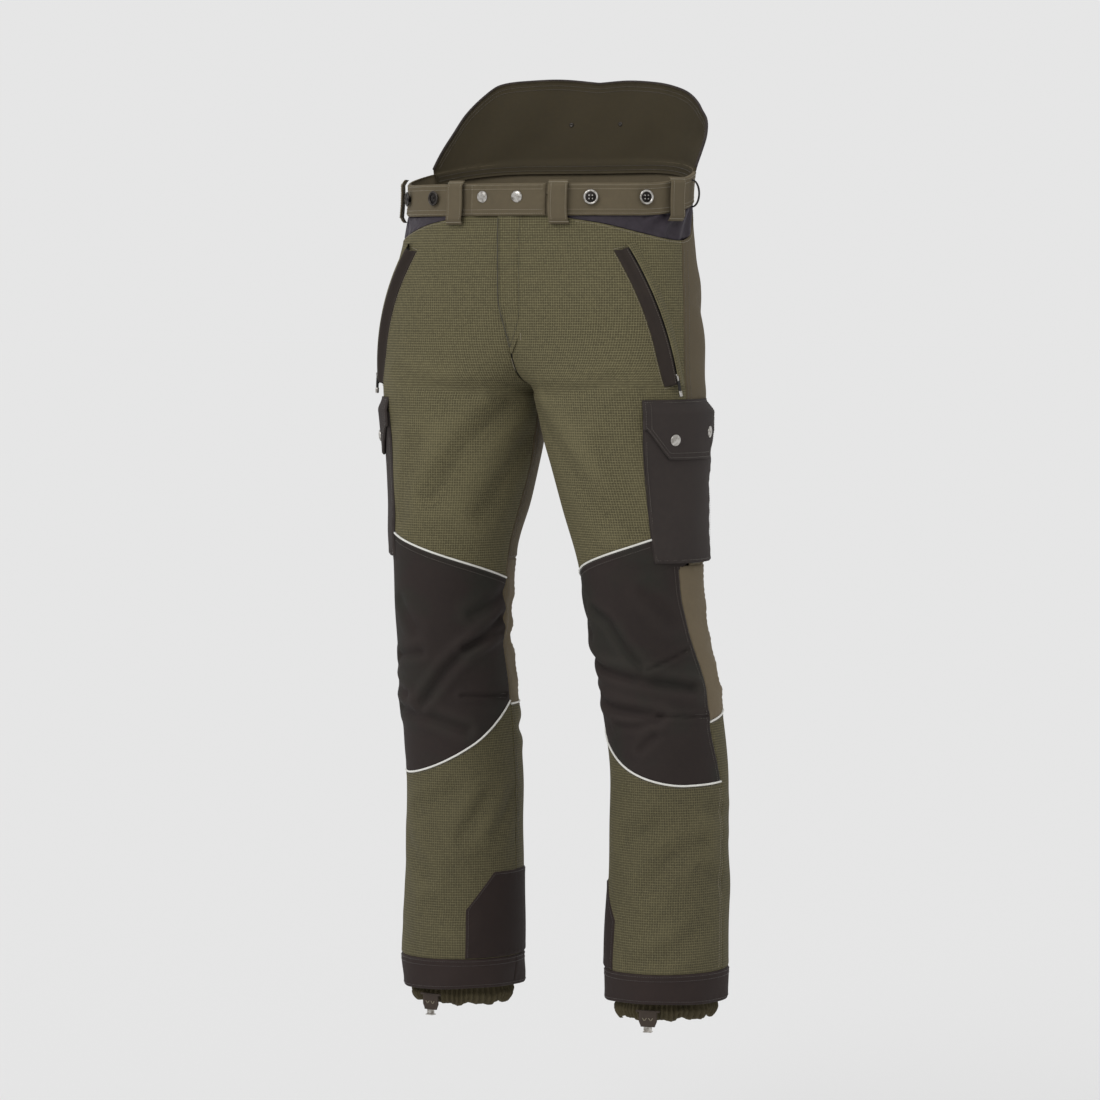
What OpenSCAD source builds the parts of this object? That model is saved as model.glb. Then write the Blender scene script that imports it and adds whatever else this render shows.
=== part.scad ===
// Chainsaw protection trousers, shown as worn, hanging from the waist.
// Frame: +Z up, the front faces -Y, the wearer's left leg is at +X. The origin is the
// centre of the waist opening, level with the front top edge of the waistband.

/* [Waist] */
// Height of the waistband
band_h = 41; // [34:1:48]
// Rise of the waistband from front to back
back_rise = 32; // [10:1:40]
// Height of the kidney yoke above the waistband
yoke_h = 112; // [80:1:140]
// Radius of a brace button's head
button_r = 9.5; // [7:0.5:12]
// Radius of a press stud's cap
cap_r = 7.5; // [5:0.5:9]
// Clear depth between the waistband and a belt loop
loop_gap = 8; // [6:0.5:9]
/* [Fabric] */
// Thickness of the outer cloth
cloth_t = 2; // [1:0.25:2.5]
// Thickness of the cut-protection layers
pad_t = 6.5; // [4:0.5:7]
// Thickness of the lining
lining_t = 1.5; // [1:0.25:2]
/* [Pockets] */
// Depth of the cargo pocket's gusset
gusset_d = 16; // [10:1:18]
// Height of the cargo pocket's flap
flap_h = 76; // [60:1:80]
/* [Knee] */
// Height of the knee's pivot
knee_z = -630; // [-640:1:-620]
// Bend that the knee leaves room for, in degrees
knee_bend = 75; // [30:1:75]
/* [Hem] */
// Height of the hem's lower edge
hem_z = -1052; // [-1058:1:-1044]
// Height of the reinforced hem band
hem_h = 40; // [25:1:60]

/* [Hidden] */

olive = [0.36, 0.34, 0.25];
khaki = [0.42, 0.38, 0.30];
charcoal = [0.22, 0.20, 0.18];
plum = [0.28, 0.25, 0.28];
steel = [0.75, 0.75, 0.73];

// Cross-sections of the left leg: height, outer x, inner x, centre y, front depth, back depth,
// and roundness. Above the crotch the inner x lies past the middle, so both legs merge there.
sections = [
    [170, 218, -218, 8, 132, 140, 2],
    [60, 205, -205, 3, 125, 129, 2],
    [0, 196, -196, 0, 123, 122, 2.05],
    [-50, 197, -197, -3, 122, 121, 2.1],
    [-90, 202, -156, -9, 117, 124, 2.2],
    [-140, 210, -114, -20, 107, 128, 2.3],
    [-190, 216, -77, -28, 97, 130, 2.3],
    [-225, 217, -44, -29, 96, 128, 2.25],
    [-248, 217, -16, -27, 99, 124, 2.2],
    [-260, 217, 0, -25, 101, 121, 2.15],
    [-290, 216, 8, -22, 103, 117, 2.1],
    [-345, 212, 19, -15, 106, 110, 2.05],
    [-410, 211, 36, -12, 99, 100, 2],
    [-474, 213, 54, -10, 90, 90, 2],
    [-578, 216, 70, 2, 82, 82, 2],
    [-656, 223, 74, 26, 84, 83, 2],
    [-760, 225, 75, 45, 84, 84, 2],
    [-890, 227, 73, 45, 84, 86, 2],
    [-1000, 228, 71, 40, 86, 88, 2],
    [-1090, 227, 72, 38, 84, 86, 2]
];
crotch_z = -260;
gap = 0.6;                      // clear gap between neighbouring cloth edges
pad_out = -3.5 - 3;             // outer face of the cut-protection layers
lining_out = pad_out - pad_t - 1.5;
bag_out = -cloth_t - 1.5;

function lerp(a, b, t) = a + (b - a) * t;
function clamp(t) = min(1, max(0, t));
function smooth(t) = let (c = clamp(t)) c * c * (3 - 2 * c);
function unit(v) = v / norm(v);

// Smooth curve through a table of rows, by its first column, which falls or rises steadily.
function row_slope(t, i) =
    let (a = max(0, i - 1), b = min(len(t) - 1, i + 1)) (t[b] - t[a]) / (t[b][0] - t[a][0]);
function row_span(t, x, down, i = 0) =
    i >= len(t) - 2 || (down ? x >= t[i + 1][0] : x <= t[i + 1][0]) ? i : row_span(t, x, down, i + 1);
function curve(t, x) = let (
        down = t[1][0] < t[0][0],
        i = row_span(t, x, down),
        w = t[i + 1][0] - t[i][0],
        s = clamp((x - t[i][0]) / w),
        s2 = s * s,
        s3 = s2 * s
    )
    (2 * s3 - 3 * s2 + 1) * t[i] + (s3 - 2 * s2 + s) * w * row_slope(t, i)
    + (3 * s2 - 2 * s3) * t[i + 1] + (s3 - s2) * w * row_slope(t, i + 1);

function power(v, n) = sign(v) * pow(abs(v), n);

// A point on the left leg's cloth: angle a is 0 at the front, 90 outside, 180 at the back and
// -90 inside; d is the distance outside the cloth's outer face.
function leg_frame(a, z) = let (
        s = curve(sections, z),
        cx = (s[1] + s[2]) / 2,
        rx = (s[1] - s[2]) / 2,
        ry = cos(a) > 0 ? s[4] : s[5],
        u = power(sin(a), 2 / s[6]),
        v = power(cos(a), 2 / s[6]),
        n = unit([power(u, s[6] - 1) / rx, -power(v, s[6] - 1) / ry])
    )
    [[cx + rx * u, s[3] - ry * v, z], [n[0], n[1], 0]];
function leg_point(a, z, d) = let (f = leg_frame(a, z)) f[0] + d * f[1];

// The same cloth seen as one ring round the waist: negative angles are on the wearer's right.
function ring_frame(a, z) = let (f = leg_frame(abs(a), z), m = a < 0 ? -1 : 1)
    [[m * f[0][0], f[0][1], z], [m * f[1][0], f[1][1], 0]];
function ring_point(a, z, d) = let (b = a > 180 ? a - 360 : a, f = ring_frame(b, z)) f[0] + d * f[1];

// The angle at which the cloth meets the middle of the body, or the inside leg seam below.
function merge(z) = let (s = curve(sections, z)) (s[1] + s[2]) / (s[1] - s[2]);
function seam_turn(z) =
    z <= crotch_z ? 90 : let (k = merge(z), s = curve(sections, z))
    sign(k) * asin(min(1, pow(abs(k), s[6] / 2)));
front_seam = function (z) -seam_turn(z) + 0.4;
back_seam = function (z) 180 + seam_turn(z) - 0.4;

// Edges of the cloth panels.
function band_top(a) = back_rise * smooth((abs(a) - 55) / 100);
function band_bottom(a) = band_top(a) - band_h;
dip_table = [[0, 0], [20, 0], [26, 4], [38, 10], [56, 22], [85, 38], [96, 34], [116, 0], [180, 0]];
function panel_top(a) = band_bottom(a) - gap - curve(dip_table, clamp(a / 180) * 180)[1];
function side_seam(z) = 84 - 3 * smooth((-60 - z) / 190) + 9 * smooth((-640 - z) / 120);
function knee_top(a) = -468 + 0.5 * a;
function knee_low(a) = -770 + (a < 45 ? 97 * pow((45 - a) / 135, 1.9) : 2 * pow((a - 45) / 45, 2));
function knee_side(z) = 67 + 22 * smooth((-640 - z) / 130);
back_piping_z = -676;

knee_y = leg_frame(90, knee_z)[0][1];
wedge = tan(knee_bend / 2 + 2);
function behind_knee(a) = max(0, leg_point(a, knee_z, 0)[1] - knee_y + 2);
knee_above = function (a) knee_z + gap + wedge * behind_knee(a);
knee_below = function (a) knee_z - gap - wedge * behind_knee(a);

// A thin curved panel. edges holds four functions: the first and last angle at a height, and
// the lower and upper height at an angle. at gives a point from angle, height and distance.
function grid_spot(u, v, edges, a, z, n = 5) = n == 0 ? [a, z] : let (
        p = lerp(edges[0](z), edges[1](z), u),
        q = lerp(edges[2](p), edges[3](p), v)
    )
    grid_spot(u, v, edges, p, q, n - 1);

module panel(edges, d0, d1, na, nz, at = function (a, z, d) leg_point(a, z, d), ring = false) {
    cols = ring ? na : na + 1;
    rows = nz + 1;
    za = function (v) lerp(edges[2](90), edges[3](90), v);
    spots = [for (j = [0 : nz]) for (i = [0 : cols - 1]) grid_spot(i / na, j / nz, edges, 0, za(j / nz))];
    points = [for (d = [d0, d1]) for (s = spots) at(s[0], s[1], d)];
    back = cols * rows;
    function id(side, i, j) = side * back + j * cols + i % cols;
    outer = [for (j = [0 : nz - 1]) for (i = [0 : na - 1])
        for (f = [[id(1, i, j), id(1, i, j + 1), id(1, i + 1, j + 1)],
                  [id(1, i, j), id(1, i + 1, j + 1), id(1, i + 1, j)]]) f];
    inner = [for (j = [0 : nz - 1]) for (i = [0 : na - 1])
        for (f = [[id(0, i, j), id(0, i + 1, j + 1), id(0, i, j + 1)],
                  [id(0, i, j), id(0, i + 1, j), id(0, i + 1, j + 1)]]) f];
    hems = [for (j = [0, nz]) for (i = [0 : na - 1])
        let (p = j == 0 ? i : i + 1, q = j == 0 ? i + 1 : i)
        for (f = [[id(0, p, j), id(1, p, j), id(1, q, j)], [id(0, p, j), id(1, q, j), id(0, q, j)]]) f];
    ends = ring ? [] : [for (i = [0, na]) for (j = [0 : nz - 1])
        let (p = i == 0 ? j + 1 : j, q = i == 0 ? j : j + 1)
        for (f = [[id(0, i, p), id(1, i, p), id(1, i, q)], [id(0, i, p), id(1, i, q), id(0, i, q)]]) f];
    polyhedron(points, concat(outer, inner, hems, ends), convexity = 6);
}

module ring_panel(edges, d0, d1, na, nz) panel(edges, d0, d1, na, nz, function (a, z, d) ring_point(a, z, d));

function same(value) = function (x) value;

// Places children on the cloth: X runs round the body, Y is up and Z points out of the cloth.
module seat(f, d) multmatrix([
    [-f[1][1], 0, f[1][0], f[0][0] + d * f[1][0]],
    [f[1][0], 0, f[1][1], f[0][1] + d * f[1][1]],
    [0, 1, 0, f[0][2]]
]) children();
module on_waist(a, z, d) seat(ring_frame(a, z), d) children();
module on_leg(a, z, d) seat(leg_frame(a, z), d) children();
module both() {
    children();
    mirror([1, 0, 0]) children();
}
module side(right) if (right) mirror([1, 0, 0]) children(); else children();

// Waist.
tab_hinge_a = 16;
tab_end_a = -15;
tab_out = 2.6;
tab_t = 2.2;
snap_angles = [-9, 5];
snap_z = -17;
loop_angles = [-128, -77, -21, 21, 77, 128, 180];
button_angles = [-59, -34, 34, 59];
rear_button_angles = [-170, 170];
rear_button_z = 82;

module waistband() color(khaki) ring_panel(
    [same(tab_hinge_a + 0.7), same(368), function (a) band_bottom(a > 180 ? a - 360 : a),
     function (a) band_top(a > 180 ? a - 360 : a)],
    -1.5, 1.5, 44, 1);

module waist_tab() color(khaki) ring_panel(
    [function (z) tab_end_a + 0.03 * (z + band_h), same(tab_hinge_a), same(-band_h), same(0)],
    tab_out, tab_out + tab_t, 6, 2);

module cap() rotate_extrude($fn = 40) polygon([
    [0, 0], [cap_r, 0], [cap_r, 0.8], [cap_r * 0.88, 1.7], [cap_r * 0.55, 2.3], [0, 2.6]
]);
module stud() rotate_extrude($fn = 40) polygon([
    [0, 0], [cap_r - 1, 0], [cap_r - 1, 0.3], [2, 0.3], [2, 0.45], [0, 0.45]
]);
module waist_snap_caps() color(steel) for (a = snap_angles) on_waist(a, snap_z, tab_out + tab_t + 0.15) cap();
module waist_snap_studs() color(steel) for (a = snap_angles) on_waist(a, snap_z, 1.52) stud();

loop_w = 25;
loop_h = 56;
loop_t = 2;
module belt_loop() translate([-loop_w / 2, -loop_h + 4, 0]) difference() {
    cube([loop_w, loop_h, loop_gap + loop_t]);
    translate([-1, 4, -1]) cube([loop_w + 2, loop_h - 8, loop_gap + 1]);
}
module belt_loops() color(khaki) for (a = loop_angles) on_waist(a, band_top(a), 1.55) belt_loop();

elastic_r = 17;
module side_elastic_loops() color("black") both() on_waist(96, band_top(96) - 24, 2.4)
    rotate([0, 90, 0]) rotate([0, 0, -90]) rotate_extrude(angle = 180, $fn = 48)
        translate([elastic_r - 2, -3]) square([2, 6]);

button_shank_r = 3.5;
button_head_t = 3;
button_rise = 2.6;
module button() union() {
    cylinder(r = button_shank_r, h = button_rise, $fn = 32);
    translate([0, 0, button_rise]) difference() {
        cylinder(r = button_r, h = button_head_t, $fn = 48);
        translate([0, 0, button_head_t - 0.9]) cylinder(r = button_r - 3.4, h = 2, $fn = 48);
        for (t = [45 : 90 : 315])
            rotate(t) translate([2.2, 0, button_head_t - 2]) cylinder(r = 0.9, h = 3, $fn = 16);
    }
}
module front_brace_buttons() color(steel) for (a = button_angles) on_waist(a, -18, 1.5) button();
module rear_brace_buttons() color(steel) for (a = rear_button_angles) {
    on_waist(a, rear_button_z, 1.5) button();
    on_waist(a, rear_button_z, -1.6) rotate([180, 0, 0]) cylinder(r = 4, h = 0.8, $fn = 32);
}

yoke_table = [[106, 5], [112, 22], [120, 45], [127, 69], [136, 92], [142, 105], [154, 111], [166, 112], [180, 107]];
function yoke_top(a) = let (b = abs(a > 180 ? a - 360 : a))
    band_top(b) + yoke_h / 112 * curve(yoke_table, b)[1];
yoke_edge = function (a) band_top(a > 180 ? a - 360 : a) + gap;
module back_yoke() color(olive) ring_panel(
    [same(106), same(254), yoke_edge, function (a) yoke_top(a)], -1.5, 1.5, 22, 4);
module yoke_binding() color(charcoal) ring_panel(
    [same(106), same(254), function (a) yoke_top(a) + gap, function (a) yoke_top(a) + 4], -2, 2, 26, 1);

module hip_mesh_inserts() color(plum) both() panel(
    [same(26), same(112), function (a) panel_top(a) + gap, function (a) band_bottom(a) - gap],
    -1.5, 0, 9, 1);

// Upper cloth panels.
module front_panel() color(olive) panel(
    [front_seam, function (z) side_seam(z) - 0.3, function (a) knee_top(a) + gap, function (a) panel_top(a)],
    -cloth_t, 0, 9, 14);
module back_panel() color(khaki) panel(
    [function (z) (z < -440 ? knee_side(z) : side_seam(z)) + 0.3, back_seam,
     function (a) knee_above(a), function (a) panel_top(a)],
    -cloth_t, 0, 10, 14);
module knee_upper() color(charcoal) panel(
    [same(-89), function (z) knee_side(z) - 0.3, knee_above, function (a) knee_top(a) - gap],
    -cloth_t, 0, 9, 4);
module knee_top_piping() color("white") both() panel(
    [same(-89), same(41), function (a) knee_top(a) - 1.6, function (a) knee_top(a) + 1.6], 0.6, 2.8, 9, 1);

module thigh_cut_pads() color("ivory") both() panel(
    [function (z) z > crotch_z ? front_seam(z) + 16 : -66, same(74), same(knee_z + gap), same(-120)],
    pad_out - pad_t, pad_out, 8, 11);
module upper_lining() color("dimgray") both() panel(
    [function (z) front_seam(z) + (z > crotch_z ? 16 * smooth((z - crotch_z) / 40) : 0.4), back_seam,
     knee_above, function (a) min(-48, band_bottom(a) - 4)],
    lining_out - lining_t, lining_out, 12, 12);

// Fly: a straight zip behind the placket.
fly_top = [0, -114, -50];
fly_end = [0, -103, -205];
fly_len = norm(fly_end - fly_top);
fly_tilt = atan2(fly_end[1] - fly_top[1], fly_top[2] - fly_end[2]);
module fly_place() translate(fly_top) rotate([fly_tilt, 0, 0]) children();
function front_y(x, z) = let (
        s = curve(sections, z),
        u = (abs(x) - (s[1] + s[2]) / 2) / ((s[1] - s[2]) / 2)
    )
    s[3] - s[4] * pow(1 - pow(abs(u), s[6]), 1 / s[6]);
fly_lap = 10;
fly_low = -218;
module fly_placket() color(olive) panel(
    [same(-fly_lap), function (z) 22 - 30 * pow(clamp((fly_low + 52 - z) / 52), 2),
     same(fly_low), same(-band_h - 1)],
    0.8, 2.2, 4, 8, function (x, z, d) [x, min(front_y(0, z), front_y(x, z)) - d, z]);
module fly_zip() color(charcoal) for (m = [0, 1]) mirror([m, 0, 0]) fly_place() translate([0, 0, -fly_len]) {
    translate([0.9, -0.3, 0]) cube([12, 0.6, fly_len]);
    for (i = [0 : 30]) translate([0.8, -0.95, 2 + i * 5]) cube([1.9, 1.9, 3]);
}
slider_l = 10;
bail_y = -3.4;
bail_z = -5;
module slider(w) {
    for (y = [-2.3, 1.3]) translate([-w / 2, y, -slider_l]) cube([w, 1, slider_l]);
    translate([-0.4, -1.5, -slider_l + 1]) cube([0.8, 3, 6]);
    for (z = [-8.4, -2.6]) translate([-1, -5.4, z]) cube([2, 3.2, 1]);
    translate([-1, -5.4, -8.4]) cube([2, 0.9, 6.8]);
}
module pull(len, hang = 0) translate([0, bail_y, bail_z]) rotate([-hang, 0, 0]) {
    rotate([0, 90, 0]) cylinder(r = 0.6, h = 5.4, center = true, $fn = 20);
    for (x = [-2.7, 1.5]) translate([x, -0.6, -7]) cube([1.2, 1.2, 7]);
    translate([-3, -0.6, -len]) cube([6, 1.2, len - 4.4]);
}
module fly_slider() color(steel) fly_place() slider(8);
module fly_pull() color(steel) fly_place() pull(24);

// Slant pocket: the zip follows an arc through three points of the cloth.
pocket_a = [47, 59.5, 69];
pocket_z = [-82, -168, -254];
pocket_pts = [for (i = [0 : 2]) leg_point(pocket_a[i], pocket_z[i], 4.2)];
arc_mid = (pocket_pts[0] + pocket_pts[2]) / 2;
arc_down = unit(pocket_pts[2] - pocket_pts[0]);
arc_rise = pocket_pts[1] - arc_mid;
arc_side = arc_rise - (arc_rise * arc_down) * arc_down;
arc_out = unit(arc_side);
arc_half = norm(pocket_pts[2] - pocket_pts[0]) / 2;
arc_r = (arc_half * arc_half + norm(arc_side) * norm(arc_side)) / (2 * norm(arc_side));
arc_centre = arc_mid - arc_out * (arc_r - norm(arc_side));
arc_axis = cross(arc_out, arc_down);
arc_angle = 2 * asin(arc_half / arc_r);
arc_normal = leg_frame(pocket_a[1], pocket_z[1])[1];
arc_lean = atan2(arc_normal * arc_axis, arc_normal * arc_out);
slider_turn = slider_l / arc_r * 180 / PI;
zip_travel = arc_angle - slider_turn * 1.6;

module on_arc(t) multmatrix([for (i = [0 : 2]) [arc_out[i], arc_down[i], arc_axis[i], arc_centre[i]]])
    rotate(t) translate([arc_r, 0, 0]) rotate([0, -arc_lean, 0])
        rotate([0, -90, 0]) rotate([90, 0, 0]) children();
module arc_strip(x0, x1, y0, y1) multmatrix(
    [for (i = [0 : 2]) [arc_out[i], arc_down[i], arc_axis[i], arc_centre[i]]])
    rotate(-arc_angle / 2) rotate_extrude(angle = arc_angle, $fn = 180)
        translate([arc_r, 0]) rotate(arc_lean) translate([y0, x0]) square([y1 - y0, x1 - x0]);
module pocket_zips() color("black") both() {
    for (s = [[-13, -0.9], [0.9, 13]]) arc_strip(s[0], s[1], -0.3, 0.3);
    for (s = [[-2.6, -0.8], [0.8, 2.6]]) arc_strip(s[0], s[1], -0.95, 0.95);
}
module pocket_welt() color(charcoal) arc_strip(-23, -4.6, 1.2, 2.8);
module pocket_welts() both() pocket_welt();
module pocket_bags() color("gray") both() panel(
    [function (z) 24 + 14 * smooth((-120 - z) / 120), function (z) side_seam(z) - 8, same(-252), same(-92)],
    bag_out - 1.2, bag_out, 6, 6);
slider_rest = arc_angle / 2 - slider_turn * 0.8;
module pocket_slider() color(steel) on_arc(slider_rest) translate([0, 0, slider_l / 2]) slider(8);
module pocket_pull() color("black") on_arc(slider_rest) translate([0, 0, slider_l / 2]) pull(24, 5);
module left_pocket_slider() pocket_slider();
module right_pocket_slider() side(true) pocket_slider();
module left_pocket_pull() pocket_pull();
module right_pocket_pull() side(true) pocket_pull();

// Cargo pocket: flat at its front edge, standing off on a gusset at the back.
cargo_a = [42, 114];
cargo_z = [-482, -294];
flap_z = -274;
function cargo_lift(a) = lerp(3.4, gusset_d, smooth((a - cargo_a[0]) / 40));
cargo_face = function (a, z, d) leg_point(a, z, cargo_lift(a) + d);
cargo_wall = function (a, z, d) leg_point(a, z, lerp(0.4, cargo_lift(a) - cloth_t, d));
module cargo_pocket() color(charcoal) {
    low = same(cargo_z[0]);
    high = same(cargo_z[1]);
    panel([same(cargo_a[0]), same(cargo_a[1]), low, high], -cloth_t, 0, 8, 4, cargo_face);
    panel([same(cargo_a[1] - 1.1), same(cargo_a[1]), low, high], 0, 0.99, 1, 4, cargo_wall);
    panel([same(cargo_a[0]), same(cargo_a[0] + 1.1), low, high], 0, 0.99, 1, 4, cargo_wall);
    panel([same(cargo_a[0] + 1.3), same(cargo_a[1] - 1.3), low, same(cargo_z[0] + 2)],
        0, 0.99, 8, 1, cargo_wall);
}
module left_cargo_pocket() cargo_pocket();
module right_cargo_pocket() side(true) cargo_pocket();

function flap_low(a) = flap_z - flap_h + 38 * clamp((60 - a) / 16) + 38 * clamp((a - 99) / 16);
flap_face = function (a, z, d)
    leg_point(a, z, d + 0.8 + (cargo_lift(a) + 2.2) * smooth((flap_z - z) / 17));
module cargo_flap() color(charcoal)
    panel([same(41), same(115), function (a) flap_low(a), same(flap_z)], 0, cloth_t, 14, 4, flap_face);
module left_cargo_flap() cargo_flap();
module right_cargo_flap() side(true) cargo_flap();
cargo_snaps = [[64, -325], [100, -316]];
function cargo_frame(s) = let (t = unit(cargo_face(s[0] + 3, s[1], 0) - cargo_face(s[0] - 3, s[1], 0)))
    [cargo_face(s[0], s[1], 0), [t[1], -t[0], 0]];
module flap_caps() color(steel) for (s = cargo_snaps) seat(cargo_frame(s), 3.3 + cloth_t) cap();
module left_flap_caps() flap_caps();
module right_flap_caps() side(true) flap_caps();
module cargo_studs() color(steel) for (s = cargo_snaps) seat(cargo_frame(s), 0.1) stud();
module left_cargo_studs() cargo_studs();
module right_cargo_studs() side(true) cargo_studs();

module left_front_panel() front_panel();
module right_front_panel() side(true) front_panel();
module left_back_panel() back_panel();
module right_back_panel() side(true) back_panel();
module left_knee_upper() knee_upper();
module right_knee_upper() side(true) knee_upper();

// Below the knee.
hem_top = hem_z + hem_h;
module knee_lower() color(charcoal) panel(
    [same(-89), function (z) knee_side(z) - 0.3, function (a) knee_low(a) + gap, knee_below],
    -cloth_t, 0, 9, 4);
module left_knee_lower() knee_lower();
module right_knee_lower() side(true) knee_lower();

module shin_panels() color(olive) {
    panel([same(-89.7), function (z) side_seam(z) - 0.3, same(hem_top + gap), function (a) knee_low(a) - gap],
        -cloth_t, 0, 9, 5);
    panel([function (z) (z > -770 ? knee_side(z) : side_seam(z)) + 0.3, same(269.7),
        same(hem_top + gap), function (a) knee_below(a)], -cloth_t, 0, 10, 7);
}
module left_shin_panels() shin_panels();
module right_shin_panels() side(true) shin_panels();

function guard_top(a) = -899 - 48 * clamp((a + 60) / 28) - 48 * clamp((-122 - a) / 28);
module inner_guard() color(charcoal) panel(
    [same(-150), same(-32), same(hem_top + 3), function (a) guard_top(a)], 0.5, 2, 12, 2);
module left_inner_guard() inner_guard();
module right_inner_guard() side(true) inner_guard();

module hem_band() color(charcoal) panel(
    [same(-90), same(270), same(hem_z), same(hem_top)], -cloth_t, 0.4, 28, 1,
    function (a, z, d) leg_point(a, z, d), true);
module left_hem_band() hem_band();
module right_hem_band() side(true) hem_band();

module shin_piping() color("white") panel(
    [same(-89), same(86), function (a) knee_low(a) - 1.6, function (a) knee_low(a) + 1.6], 0.6, 2.8, 11, 1);
module left_shin_piping() shin_piping();
module right_shin_piping() side(true) shin_piping();

module shin_cut_pad() color("ivory") panel(
    [same(-66), same(74), same(hem_top + 20), same(knee_z - gap)], pad_out - pad_t, pad_out, 8, 6);
module left_shin_cut_pad() shin_cut_pad();
module right_shin_cut_pad() side(true) shin_cut_pad();

gaiter_d = -15;
gaiter_low = -1078;
tab_a = 8;
tab_z = -1061;
module on_tab() on_leg(tab_a, tab_z, gaiter_d + 4) children();
module gaiter() color(olive) {
    on_tab() for (x = [-16.5, 13.5]) difference() {
        translate([x, -3, -3.6]) cube([3, 6, 6.4]);
        translate([x - 1, 0, 0]) rotate([0, 90, 0]) cylinder(r = 1.8, h = 5, $fn = 24);
    }
    panel([same(-90), same(270), same(gaiter_low), same(hem_top + 8)], -1.5, 0, 24, 4,
        function (a, z, d) leg_point(a, z, lerp(gaiter_d, -cloth_t - 0.4, smooth((z - hem_z) / 45)) + d), true);
}
module left_gaiter() gaiter();
module right_gaiter() side(true) gaiter();

// Boot tab: swings in two keepers on the gaiter and carries the lace hook.
module boot_tab() color(charcoal) on_tab() {
    rotate([0, 90, 0]) cylinder(r = 1.4, h = 32, center = true, $fn = 24);
    translate([-12, -20, -1]) cube([24, 19.4, 2]);
}
module left_boot_tab() boot_tab();
module right_boot_tab() side(true) boot_tab();
module boot_hook() color(steel) on_tab() {
    translate([-5.5, -27, -0.6]) cube([11, 6.9, 1.2]);
    translate([-5.5, -27, -4]) cube([11, 1.2, 8]);
}
module left_boot_hook() boot_hook();
module right_boot_hook() side(true) boot_hook();

waistband();
waist_tab();
waist_snap_caps();
waist_snap_studs();
belt_loops();
side_elastic_loops();
front_brace_buttons();
rear_brace_buttons();
back_yoke();
yoke_binding();
hip_mesh_inserts();
left_front_panel();
right_front_panel();
left_back_panel();
right_back_panel();
fly_placket();
fly_zip();
fly_slider();
fly_pull();
pocket_welts();
pocket_zips();
pocket_bags();
left_pocket_slider();
right_pocket_slider();
left_pocket_pull();
right_pocket_pull();
thigh_cut_pads();
upper_lining();
knee_top_piping();
left_knee_upper();
right_knee_upper();
left_cargo_pocket();
right_cargo_pocket();
left_cargo_studs();
right_cargo_studs();
left_cargo_flap();
right_cargo_flap();
left_flap_caps();
right_flap_caps();
left_knee_lower();
right_knee_lower();
left_shin_panels();
right_shin_panels();
left_inner_guard();
right_inner_guard();
left_hem_band();
right_hem_band();
left_shin_piping();
right_shin_piping();
left_shin_cut_pad();
right_shin_cut_pad();
left_gaiter();
right_gaiter();
left_boot_tab();
right_boot_tab();
left_boot_hook();
right_boot_hook();
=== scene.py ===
"""Chainsaw protection trousers: the visual model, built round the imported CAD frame.

Cloth pieces are thin closed sheets laid on the same body surface as the CAD panels, with
folds, rolled seam edges and real stitches. Lengths in this file are millimetres and angles
are degrees; mesh_object() turns them into metres. The wearer's left leg is at +X, and the
right leg is its mirror image with folds of its own.
"""
import math

import bpy
import numpy as np
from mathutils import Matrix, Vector


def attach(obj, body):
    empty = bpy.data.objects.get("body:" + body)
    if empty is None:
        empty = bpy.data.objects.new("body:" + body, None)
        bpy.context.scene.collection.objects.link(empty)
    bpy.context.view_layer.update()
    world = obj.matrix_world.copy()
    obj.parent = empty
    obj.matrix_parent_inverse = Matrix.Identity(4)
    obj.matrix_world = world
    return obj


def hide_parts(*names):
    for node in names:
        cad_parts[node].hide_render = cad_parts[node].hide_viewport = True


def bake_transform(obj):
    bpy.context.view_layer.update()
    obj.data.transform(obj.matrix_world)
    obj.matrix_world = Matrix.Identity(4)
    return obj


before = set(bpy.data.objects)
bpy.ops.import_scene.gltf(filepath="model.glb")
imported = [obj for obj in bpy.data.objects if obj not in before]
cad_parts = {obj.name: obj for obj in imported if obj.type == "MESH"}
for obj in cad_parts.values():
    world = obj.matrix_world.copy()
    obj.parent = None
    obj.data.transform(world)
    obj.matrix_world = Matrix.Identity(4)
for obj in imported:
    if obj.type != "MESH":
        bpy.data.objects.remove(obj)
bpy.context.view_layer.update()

MM = 0.001
FINE = 4.0  # spacing of a cloth grid

# ---------------------------------------------------------------- camera
TURN, LIFT = math.radians(27.0), math.radians(3.3)
AIM = Vector((0, 0, -0.473))
REACH = 6.0
FIELD = 1.43  # width seen at the object, in metres
SENSOR = 36
back = Vector((math.sin(TURN) * math.cos(LIFT), -math.cos(TURN) * math.cos(LIFT), math.sin(LIFT)))
camera = bpy.data.objects.new("camera", bpy.data.cameras.new("camera"))
bpy.context.collection.objects.link(camera)
camera.data.sensor_width = SENSOR
camera.data.lens = SENSOR * REACH / FIELD
camera.data.clip_end = 200
camera.location = AIM + back * REACH
camera.rotation_euler = back.to_track_quat("Z", "Y").to_euler()
bpy.context.scene.camera = camera

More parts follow.
